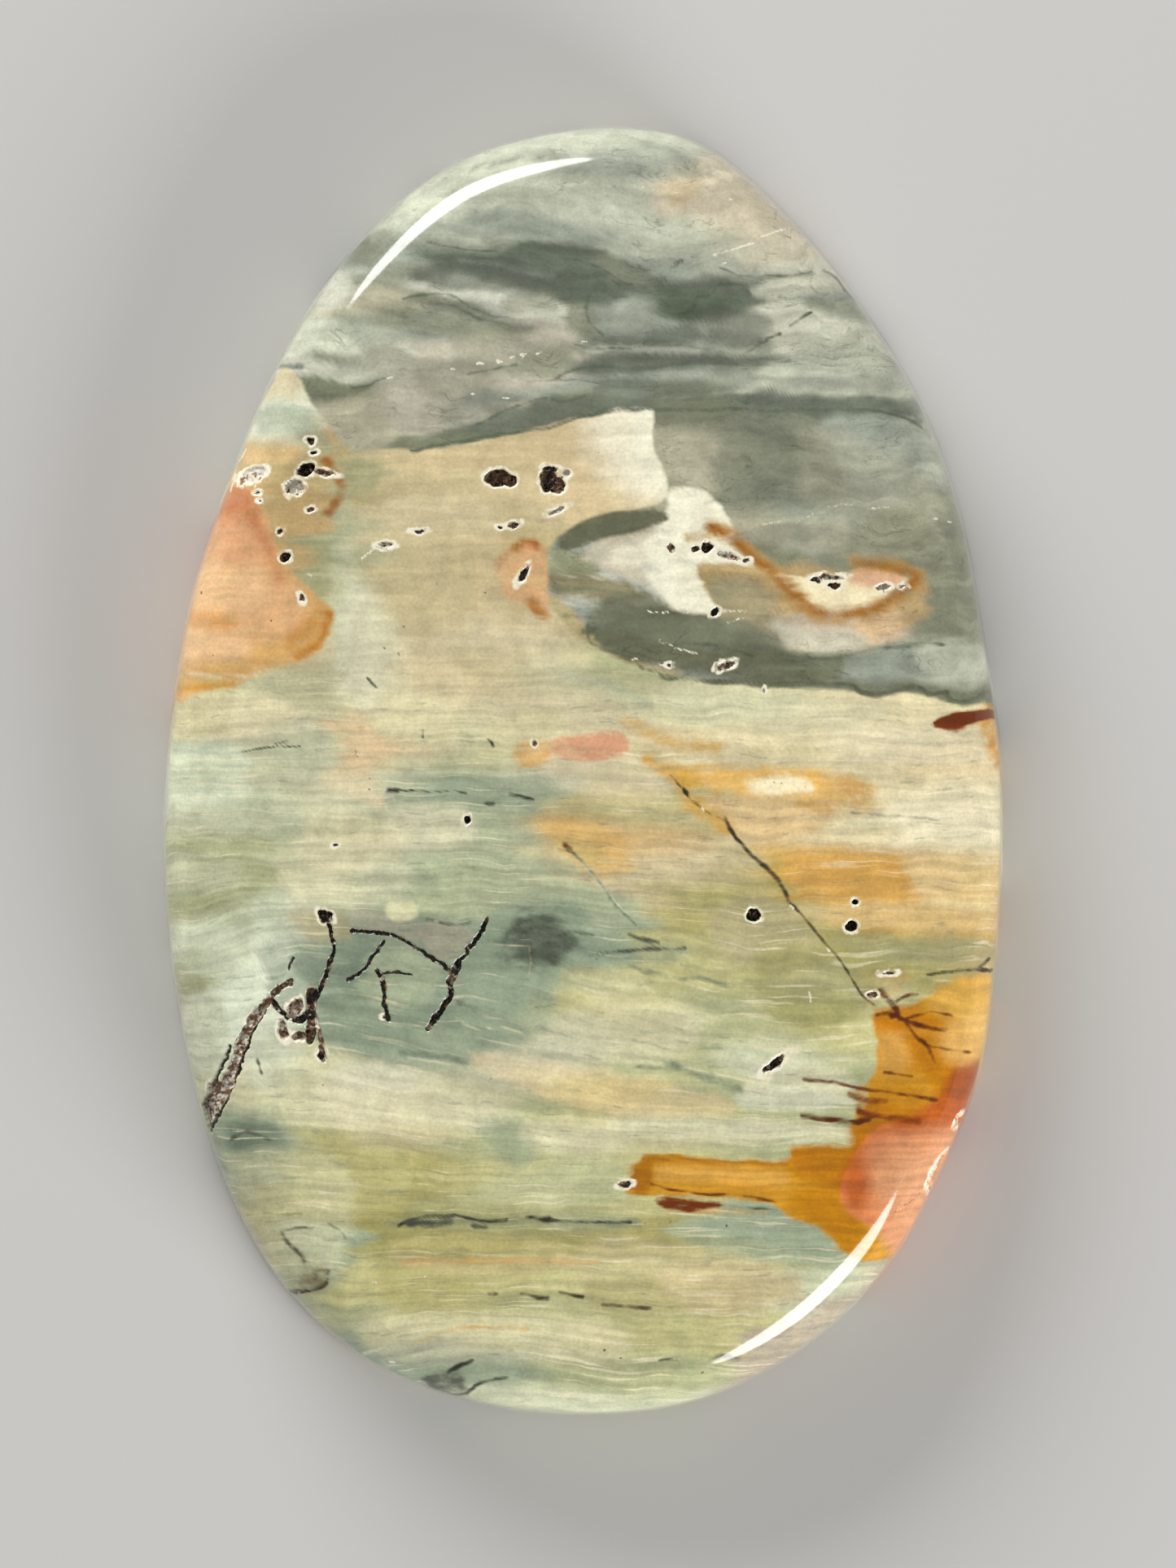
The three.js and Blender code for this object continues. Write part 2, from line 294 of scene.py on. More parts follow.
# The chert's ground colours
ASH: tuple[Blot, ...] = (
    Blot(Tint.ASH_PALE, -1.5, 22.2, 2.4, 0.6), Blot(Tint.ASH, -1, 24.3, 3, 0.5),
    Blot(Tint.ASH_PALE, -5, 22, 1.2, 0.5, 20), Blot(Tint.ASH_DARK, -3.6, 19.9, 2.8, 0.35, -5),
    Blot(Tint.ASH_DARK, 0.2, 19, 1.8, 0.5, -10), Blot(Tint.ASH_GREEN, -1, 20.9, 3.2, 0.4, -8),
    Blot(Tint.ASH_GREEN, -4.6, 21, 1.4, 0.35), Blot(Tint.ASH_GREEN, -7.4, 19.6, 1.2, 0.5),
    Blot(Tint.SLATE, -8.2, 20.4, 0.8, 0.4, 40), Blot(Tint.ASH_PALE, -10, 18.9, 0.8, 0.5),
    Blot(Tint.WARM_GREY, -8.6, 18.1, 2, 0.4), Blot(Tint.CHALK, -3.6, 18.1, 2.2, 0.3, -12),
    Blot(Tint.ASH_GREEN, -6, 17.1, 2.4, 0.4), Blot(Tint.ASH_PINK, -3.4, 15.9, 2.6, 0.9),
    Blot(Tint.ASH_PINK, -5.6, 14.3, 2, 0.8), Blot(Tint.WARM_GREY, -8.6, 13.6, 1, 0.9),
    Blot(Tint.ASH_PALE, -10.8, 16.7, 1, 0.5), Blot(Tint.CHALK, -9.9, 15.4, 1.4, 0.22, -12),
    Blot(Tint.MOSS, -9.2, 14.6, 1.1, 0.35), Blot(Tint.MOSS, -0.8, 14.1, 1.6, 0.4, 10),
    Blot(Tint.MOSS, -4.6, 12.9, 2, 0.2, 8), Blot(Tint.ASH_GREEN, 1.4, 14.8, 1.6, 0.4),
    Blot(Tint.SLATE, 2, 15.6, 2.6, 0.25), Blot(Tint.SLATE, 1.6, 16.4, 1.4, 0.3),
    Blot(Tint.ASH_GREEN, 1.9, 17.4, 0.9, 0.6), Blot(Tint.SLATE_DEEP, 4.6, 18, 1, 0.4),
    Blot(Tint.SLATE, 5.8, 18.6, 1.2, 0.3), Blot(Tint.ASH_GREEN, 3.4, 16.6, 1, 0.5),
    Blot(Tint.ASH_GREEN, 4.4, 15.2, 2, 0.4), Blot(Tint.BONE, 7.6, 17.2, 1.6, 0.5),
    Blot(Tint.BONE, 8.8, 18.8, 1.2, 0.4), Blot(Tint.BONE, 10.2, 16.2, 2, 0.6),
    Blot(Tint.ASH_PALE, 7.2, 15.2, 2.4, 0.4), Blot(Tint.ASH_GREEN, 10.2, 17.9, 1.2, 0.3),
    Blot(Tint.ASH_PALE, 11, 15, 1.6, 0.5), Blot(Tint.ASH_DARK, 9.8, 13.95, 3.2, 0.3),
    Blot(Tint.ROSE_CREAM, 6, 21.4, 1.8, 1), Blot(Tint.ROSE_CREAM, 4, 22.2, 1.4, 0.8),
    Blot(Tint.ASH_PALE, 4, 20.4, 2, 0.6), Blot(Tint.ASH_GREEN, 3.6, 19.4, 1.4, 0.4),
    Blot(Tint.ASH_PALE, 2.6, 24.3, 1.6, 0.4), Blot(Tint.ASH_GREEN, 1.4, 23, 1.8, 0.3),
    Blot(Tint.WARM_GREY, 4.4, 12.1, 1.4, 1.1), Blot(Tint.MOSS_GREY, 7.8, 11.3, 1.8, 1.2),
    Blot(Tint.MOSS_GREY, 6.4, 13, 2, 0.6), Blot(Tint.ASH_GREEN, 11.4, 12.2, 1.6, 1),
    Blot(Tint.ASH_PALE, 13.4, 12.4, 0.9, 1.4), Blot(Tint.ASH_GREEN, 8.8, 9.6, 1.8, 0.7),
    Blot(Tint.WARM_GREY, 7, 9.4, 1.2, 0.6), Blot(Tint.MOSS, 12, 9, 1.6, 0.7),
    Blot(Tint.OLIVE_GREY, 14.2, 7.2, 0.9, 1.6), Blot(Tint.OLIVE_GREY, 13.8, 9.8, 0.8, 0.8),
    Blot(Tint.BISCUIT, 6, 7, 1.4, 0.8), Blot(Tint.MOSS, 7, 8.4, 0.8, 0.3),
    Blot(Tint.LENS_GREEN, 1.2, 9.2, 1.6, 0.35), Blot(Tint.CHALK, 1.4, 8, 1.6, 0.4),
    Blot(Tint.ASH_GREEN, -0.5, 7.7, 0.6, 0.8), Blot(Tint.ASH_GREEN, 0.6, 6.4, 1.4, 0.5),
    Blot(Tint.CHALK, 2.2, 6.9, 1.2, 0.4), Blot(Tint.LENS_GREEN, 3.6, 5, 2.2, 0.7),
    Blot(Tint.MOSS, 5.6, 4.6, 1.6, 0.6), Blot(Tint.ASH_GREEN, 4.4, 3.9, 1.6, 0.25),
    Blot(Tint.ROSE_WHITE, 9.2, 5.2, 1.8, 0.5), Blot(Tint.MOSS, 9.6, 4.3, 2.4, 0.3),
    Blot(Tint.ASH_GREEN, 12.6, 4.2, 1.2, 0.5), Blot(Tint.ASH_PALE, 14.4, 4.2, 1.2, 0.6),
    Blot(Tint.MOSS, 13.4, 3.1, 1.6, 0.3), Blot(Tint.OLIVE_GREY, 13.8, 5.6, 0.9, 0.6),
)

# Soft washes over the wood's ground
WOOD_WASHES: tuple[Patch | Streak, ...] = (
    Patch(Tint.OATMEAL, (-9.7, 7.4, -8.3, 7.2, -6.6, 4, -7, 2.4, -9.2, 2.4, -9.7, 4.4), 0.8, 0.75),
    Streak(Tint.SEA_GREEN, (-9.2, 10.2, -9.2, 7, -9.5, 3.6), 0.8, 0.5, 0.6),
    Patch(Tint.SAND, (-8.6, 11, -5.4, 11.2, -2.6, 10.2, -2.2, 9, -5, 8.6, -8.2, 9.6), 0.6, 0.45),
    Patch(Tint.WHEAT, (-3.6, 12.4, -0.2, 12.9, 0.4, 11.4, -0.2, 10, -2.4, 10.2, -4.4, 11.2), 0.6, 0.7),
    Patch(Tint.BISCUIT, (-4.6, 8.6, -2.6, 9, -2.4, 6, -3.4, 5.4, -4.4, 6.6), 0.5, 0.4),
    Patch(Tint.WHEAT, (-7.2, 4.6, -5.2, 4.2, -3.8, 3.2, -4.6, 2.4, -6.8, 2.8), 0.5, 0.6),
    Streak(Tint.MIST, (-0.6, 3.7, 1.6, 3, 2.2, 2.5), 0.5, 0.35, 0.6),
    Patch(Tint.BUTTER, (-16.4, 2.8, -13.4, 3.1, -11.4, 2.6, -10.2, 1.6, -12.4, 1.2, -16.4, 1.1), 0.4, 0.75),
    Patch(Tint.LICHEN, (-12.6, 3.7, -10.6, 4.2, -9.5, 4, -9.6, 2.6, -11.4, 2.9), 0.3, 0.5),
    Patch(Tint.MIST, (-16.4, 1.1, -13.4, 1.2, -10.6, 2, -9.7, 1.2, -10, 0.4, -16.4, 0.5), 0.3, 0.55),
    Patch(Tint.PALE_PEACH, (-9.1, 2.2, -8.2, 1.9, -7.6, 1.2, -8.2, 0.2, -7.6, -1.3, -8.4, -1.2, -9.9, -0.6,
        -9.6, 0.1, -8.9, 0.6), 0.35, 0.55),
    Patch(Tint.OATMEAL, (-7.4, 0.2, -7.9, -1, -8.6, -1.8, -11, -1.4, -10.4, -0.4), 0.4, 0.35),
    Patch(Tint.STRAW, (-2.8, 2.2, -0.6, 2, -1, 0.9, -2.4, 0.2, -4.4, 0.3), 0.5, 0.5),
    Patch(Tint.BUTTER, (-10.6, -1.7, -7.8, -1.8, -6.8, -2.7, -7.4, -3.5, -10.4, -3.9), 0.35, 0.55),
    Streak(Tint.OLIVE, (-10.2, -2.5, -7, -2.6), 0.12, 0.12, 0.6),
    Patch(Tint.MIST, (-8.6, -3.8, -6.4, -3.5, -5.4, -4.4, -6.6, -4.9, -8.4, -4.6), 0.4, 0.6),
    Streak(Tint.LICHEN, (-4.6, -3.7, -0.9, -4.4), 0.3, 0.35, 0.45),
    Patch(Tint.OCHRE_WASH, (-1.7, -1.9, 0, -1.8, 1.3, -2.3, 1.8, -3.6, 0.7, -4.1, -1.4, -2.7), 0.4, 0.45),
    Patch(Tint.MILK, (-12.8, -4.9, -11, -4.8, -10.4, -5.6, -11.2, -6.8, -12.8, -7.4, -14.4,
        -7.2), 0.5, 0.5),
    Patch(Tint.FROST, (-14.4, -8, -12.8, -7.4, -12.2, -8.2, -13, -9.6, -13.6, -11.6, -14.4,
        -11.8), 0.4, 0.65),
    Patch(Tint.MILK, (-12.4, -10.2, -10.6, -10.8, -11.4, -12.4, -13, -11.8), 0.4, 0.6),
    Patch(Tint.BLUE_GREY, (-11.2, -7.2, -10.3, -7, -9.9, -7.9, -10.6, -8.4), 0.2, 0.6),
    Patch(Tint.SEA_GREEN, (-7.8, -6.6, -6.4, -6.9, -5.4, -7.8, -6, -8.8, -7.4, -9.2, -8.6, -8.6, -8.4,
        -7.6), 0.4, 0.55),
    Patch(Tint.PUTTY, (-6.3, -6, -4.3, -6, -4.9, -7.2, -5.8, -7.1), 0.25, 0.6),
    Patch(Tint.PUTTY, (-8.6, -5.2, -6.4, -5.9, -6.6, -6.5, -8.8, -6), 0.25, 0.5),
    Patch(Tint.BLUE_GREY, (-10, -8.6, -8.4, -9, -6.6, -9.8, -6.2, -10.8, -9, -10.8, -9.9, -9.8), 0.4, 0.7),
    Patch(Tint.BLUE_GREY, (-3.6, -5.4, -1.4, -5, 0.8, -5.6, 1, -6.8, -0.4, -7.6, -2.8, -7.6, -3.6,
        -6.6), 0.5, 0.8),
    Patch(Tint.MIST, (-4.6, -7.6, -1.4, -7.8, -1.2, -9.8, -2.4, -10.4, -4.8, -9.6), 0.4, 0.6),
    Patch(Tint.STRAW, (-0.8, -7.6, 1.4, -7.6, 4, -8.8, 3.2, -9.8, 0.4, -9.6, -1, -8.8), 0.4, 0.5),
    Patch(Tint.BLUE_GREY, (0, -6.7, 2.6, -6.6, 4.6, -6.9, 3, -7.4, 0.6, -7.6), 0.3, 0.5),
    Patch(Tint.WHEAT, (2, 2, 4.4, 1.6, 5.6, 0.8, 4, 0.4, 2.4, 0.9), 0.4, 0.5),
    Patch(Tint.PALE_SAGE, (2.6, 3, 8, 2.8, 12, 2.4, 10, 1.6, 5, 1.8), 0.4, 0.35),
    Streak(Tint.OLIVE, (6.2, 0.7, 8.4, 0.8, 10.6, 0.6), 0.14, 0.2, 0.5),
    Patch(Tint.VELLUM, (12, -0.9, 15.6, -0.4, 16.2, -2.8, 13.4, -3, 11.6, -1.9), 0.5, 0.55),
    Patch(Tint.TAN, (2, -2.6, 6, -2.8, 7, -4.4, 4, -4.4, 1.8, -3.8), 0.5, 0.35),
    Patch(Tint.ORANGE, (7.9, -3.1, 11, -3, 13.4, -3.2, 14.2, -4.2, 13.2, -5, 8.8, -4.9, 8, -4.2), 0.4, 0.6),
    Patch(Tint.WHEAT, (8.8, -5.1, 16.2, -5.1, 16.2, -6.3, 9.4, -5.9), 0.25, 0.5),
    Patch(Tint.LICHEN, (9.9, -6.3, 15.4, -6.5, 14.4, -7.4, 11.4, -7.4, 10.2, -7), 0.3, 0.55),
    Patch(Tint.PUTTY, (5.4, -5, 7.8, -5, 9.8, -8, 8.4, -8.4, 6, -7.4, 4.6, -6.2), 0.5, 0.4),
    Patch(Tint.FAWN, (10.4, -7.8, 12.8, -7.8, 12, -8.6, 11, -9), 0.25, 0.5),
    Patch(Tint.OATMEAL, (-11, -10.9, -9.4, -10.9, -7, -11.8, -4.4, -12.4, -2.4, -13.4, -11.4,
        -12.8), 0.3, 0.6),
    Streak(Tint.BLUE_GREY, (-9.8, -10.4, -6.4, -11.3, -4.6, -11.6, -3.2, -12.2), 0.5, 0.3, 0.6),
    Streak(Tint.OATMEAL, (-7, -13.5, -4.6, -13.6, 0.4, -14.3), 0.3, 0.2, 0.6),
    Patch(Tint.BLUE_GREY, (-4.2, -13.4, -2.6, -13.4, -1.8, -14.6, -2.6, -15.4, -3.6, -14.6), 0.4, 0.55),
    Patch(Tint.WHEAT, (-4.2, -10.9, -1.6, -11.1, 4, -12.2, 5.8, -12.8, 4.4, -13.2, 1, -13.2, -1.6, -12.6,
        -3.2, -11.8), 0.25, 0.75),
    Patch(Tint.CORN, (-2.8, -11.5, -1.2, -11.5, 3.4, -12.2, 1, -13, -1.4, -12.6), 0.4, 0.7),
    Patch(Tint.MILK, (1.6, -13.3, 9.4, -13.7, 8, -14.2, 1.4, -14), 0.25, 0.4),
    Patch(Tint.MILK, (6, -12.3, 8.6, -12.2, 10.2, -12.7, 9, -13.1, 6.2, -13), 0.25, 0.5),
    Patch(Tint.SEA_GREEN, (-2.4, -15.4, 0.6, -14.9, 1.8, -15.4, 1.6, -16.6, -1.2, -16.8, -4.4,
        -16.4), 0.4, 0.5),
    Patch(Tint.STRAW, (-11.4, -14.1, -9, -13.9, -6.8, -15, -7, -16.6, -9.4, -16.9, -11.4, -16), 0.35, 0.45),
    Patch(Tint.MIST, (-14.3, -13.2, -12, -12.8, -11.3, -13.8, -11.4, -15.6, -14, -15.6), 0.3, 0.35),
    Patch(Tint.BLUE_GREY, (-7, -16.8, -4.6, -16.4, -2.4, -16.8, 1, -17, 2, -17.5, -1, -17.8, -4.6,
        -17.8), 0.25, 0.4),
    Patch(Tint.WHEAT, (-7.4, -18, -3.4, -17.8, -0.6, -18.4, -1.4, -19.4, -6.2, -19.4), 0.4, 0.45),
    Patch(Tint.STRAW, (-7.6, -20.9, -4, -20.5, 2.6, -20.9, 4, -22.2, -0.4, -22.6, -4.4, -21.9, -8.6,
        -22.2), 0.4, 0.6),
    Patch(Tint.MIST, (-7.4, -22.7, -5.4, -22.3, -3.6, -22.6, -4.4, -23.7, -6.6, -23.9), 0.35, 0.7),
    Patch(Tint.MIST, (5.4, -16.9, 7.6, -17.2, 9.6, -18.2, 10.2, -19.2, 7.2, -18.9, 4.6, -18.4, 3.2,
        -17.6), 0.35, 0.7),
    Patch(Tint.TAN, (0.2, -18, 3.4, -18.2, 7.6, -19.2, 8.4, -20.4, 4, -20.8, 0, -20.4), 0.5, 0.45),
    Patch(Tint.LICHEN, (-9.4, 12, -8.4, 12, -7.6, 11.4, -8, 10.8, -9.3, 10.6), 0.4, 0.75),
    Patch(Tint.TAN, (-12.8, 15.5, -11, 15.5, -10.8, 14.6, -11.6, 14.3, -12.8, 14.3), 0.4, 0.8),
    Patch(Tint.BLUE_GREY, (-12.4, 14, -11, 14.2, -10.2, 13.4, -9.6, 12.4, -10.6, 12.2, -11.2, 13, -12.4,
        13), 0.35, 0.5),
    Patch(Tint.BISCUIT, (-13.2, 12.5, -12, 12.6, -11.4, 12.1, -12, 11.7, -13.4, 11.6), 0.3, 0.5),
    Patch(Tint.MILK, (-9.3, 7, -8.2, 7.2, -7.6, 5.2, -7.6, 3.2, -8.8, 2.6, -9.4, 4.2), 0.6, 0.45),
    Patch(Tint.BUTTER, (-2.2, 5.2, 0, 5, 0.2, 4.2, -1.6, 4), 0.4, 0.5),
    Patch(Tint.OATMEAL, (-11.4, -3.9, -9.6, -3.9, -9.4, -4.8, -11, -5), 0.3, 0.5),
    Patch(Tint.PALE_SAGE, (-16.4, -3.2, -13.6, -3.4, -13.4, -4.6, -16.2, -4.8), 0.4, 0.6),
    Patch(Tint.OLIVE, (-1, -2.6, 0.6, -2.6, 0.8, -3.4, -0.6, -3.3), 0.3, 0.45),
    Patch(Tint.SEA_GREEN, (0, -4.6, 1.8, -4.8, 2.4, -5.8, 0.4, -6), 0.4, 0.7),
    Patch(Tint.SEA_GREEN, (-2.4, -9.4, 0.8, -9.6, 1.2, -10.6, -1.8, -10.8), 0.4, 0.7),
    Patch(Tint.OATMEAL, (-0.4, -7.8, 2.2, -7.8, 2.4, -8.6, 0, -8.6), 0.3, 0.5),
    Patch(Tint.VELLUM, (9.6, 1.6, 15.6, 1.8, 16.2, 0.4, 12, 0.2, 9.6, 0.6), 0.4, 0.5),
    Patch(Tint.BISCUIT, (9, -1.1, 11.2, -1.1, 11.6, -1.6, 9.4, -1.9), 0.25, 0.5),
    Patch(Tint.TEAL, (-13.6, -13.5, -12.2, -13.4, -11.6, -14, -12.2, -14.6, -13.6, -14.6), 0.25, 0.7),
    Patch(Tint.OATMEAL, (-1.6, -13.8, 1.6, -13.7, 1.8, -14.6, -1.2, -14.8), 0.3, 0.7),
    Patch(Tint.OLIVE, (-7, -17.9, -3.2, -17.9, -2.6, -18.7, -6.4, -18.8), 0.25, 0.6),
    Patch(Tint.OLIVE, (0.4, -19.5, 7.4, -19.8, 6.8, -20.6, 1, -20.8), 0.35, 0.5),
    Patch(Tint.MILK, (-9.2, -11.2, -6.8, -11.6, -7.2, -12.4, -9.6, -12.2), 0.3, 0.5),
    Patch(Tint.VELLUM, (-12.6, 5.6, -6, 5.2, -2, 5.4, 2.8, 1.4, -1.6, -0.6, -5, 0.2, -8, -1.6, -11.4, -1.4,
        -13.6, 0.4, -13.4, 3.2), 1, 0.32),
    Patch(Tint.BUTTER, (-7.4, 2.8, -5.2, 2.8, -4.6, 1.6, -5.6, 0.6, -7.4, 0.8), 0.6, 0.55),
    Patch(Tint.FROST, (-16.6, 0.8, -13.6, 1, -12.8, 0, -13.4, -1.2, -16.6, -1.2), 0.6, 0.6),
    Patch(Tint.VELLUM, (-1.2, 0.6, 2.6, 0.4, 3.4, -0.9, 1, -1, -1.4, -0.6), 0.5, 0.5),
    Patch(Tint.VELLUM, (-7.4, -1.4, -4.6, -1.4, -4.4, -2.8, -7.2, -3), 0.5, 0.5),
    Patch(Tint.HONEY, (4.8, -0.9, 9.8, -1.1, 9.2, -2.2, 7.4, -2.8, 6, -2.6), 0.5, 0.55),
    Patch(Tint.VELLUM, (-0.4, -9.2, 1.4, -8.8, 4.6, -9.2, 4.2, -10.8, 1.4, -11.2, -2, -12.4, -5.2, -14.4,
        -8.6, -14.2, -10.4, -12.4, -8.4, -11.4, -5, -11.6), 0.7, 0.45),
    Patch(Tint.OATMEAL, (-13.6, -14.8, -9.6, -14.8, -8.8, -17, -9.6, -19.4, -11.6, -19.6, -13,
        -17.4), 0.6, 0.55),
    Patch(Tint.OLIVE, (-7.6, -16.6, -2, -16.8, -1, -18.6, -2.4, -20.6, -6.8, -20.8, -7.8, -18.8), 0.7, 0.4),
    Patch(Tint.VELLUM, (-8.6, -21.2, -4, -20.9, 1.2, -21.2, 1.4, -22.8, -3, -22.6, -7.6, -22.8), 0.5, 0.4),
    Patch(Tint.DRAB, (6.8, -6.8, 11.2, -7, 11, -9, 9, -10.2, 7, -9), 0.6, 0.7),
    Patch(Tint.TEAL, (-12.4, -6.7, -10.2, -6.7, -9.6, -8.8, -11.6, -9.2), 0.4, 0.5),
    Patch(Tint.BISCUIT, (-11.2, -5.4, -9.2, -5.5, -9, -6.5, -10.8, -6.5), 0.3, 0.4),
    Patch(Tint.WHEAT, (3, -19, 7.6, -19.2, 8, -20.6, 4, -20.8), 0.5, 0.5),
    Patch(Tint.OLIVE, (-8, -19.2, -4.4, -19.4, -4.4, -20.8, -7.4, -20.8), 0.5, 0.4),
    Patch(Tint.VELLUM, (-8.8, 9.8, -3.4, 10.2, -3.2, 5.2, -8.8, 5), 0.8, 0.25),
    Patch(Tint.LICHEN, (-13.6, 12.8, -7.4, 12.4, -7.6, 11.2, -12, 11), 0.5, 0.3),
    Patch(Tint.VELLUM, (-11.4, -2.6, -7, -2.8, -7, -4.8, -11.2, -5.2), 0.6, 0.35),
    Patch(Tint.BUTTER, (12.6, -2.8, 16.4, -2.8, 16.2, -5.2, 13, -5), 0.5, 0.5),
    Patch(Tint.LICHEN, (-16.4, -5, -13, -5, -13, -7.6, -16.2, -8.8), 0.6, 0.35),
    Patch(Tint.LICHEN, (-16.2, -9, -14, -8.8, -14, -11.6, -15.8, -12), 0.4, 0.35),
    Patch(Tint.VELLUM, (-1.4, -13.3, 9.6, -13.6, 9.4, -14.3, -1.2, -14.6), 0.3, 0.35),
    Patch(Tint.CREAM, (6.4, -11.4, 9.2, -11.2, 10.4, -12.4, 8.6, -13, 6.6, -12.8), 0.4, 0.35),
    Patch(Tint.HONEY, (-1, -1, 4.6, -1, 4.8, -2.8, -0.6, -3), 0.6, 0.25),
    Patch(Tint.SLATE, (-2.8, -6.4, -1.9, -5.7, -0.8, -6, -0.2, -6.8, -1.2, -7.4, -2.4, -7.2), 0.4, 0.8),
    Streak(Tint.TEAL, (-7.4, -17.4, -4, -17.3, 2, -17.4), 0.25, 0.22, 0.55),
    Patch(Tint.CREAM, (0, 14.2, 3.6, 14.4, 4.2, 11.2, 3.4, 10.3, 2.4, 10.2, 1, 11.2), 1.3, 0.9),
    Patch(Tint.WHITE, (2.1, 14.2, 3.4, 14.2, 3.6, 11, 2.5, 10.8, 1.9, 12.4), 0.7, 0.8),
)
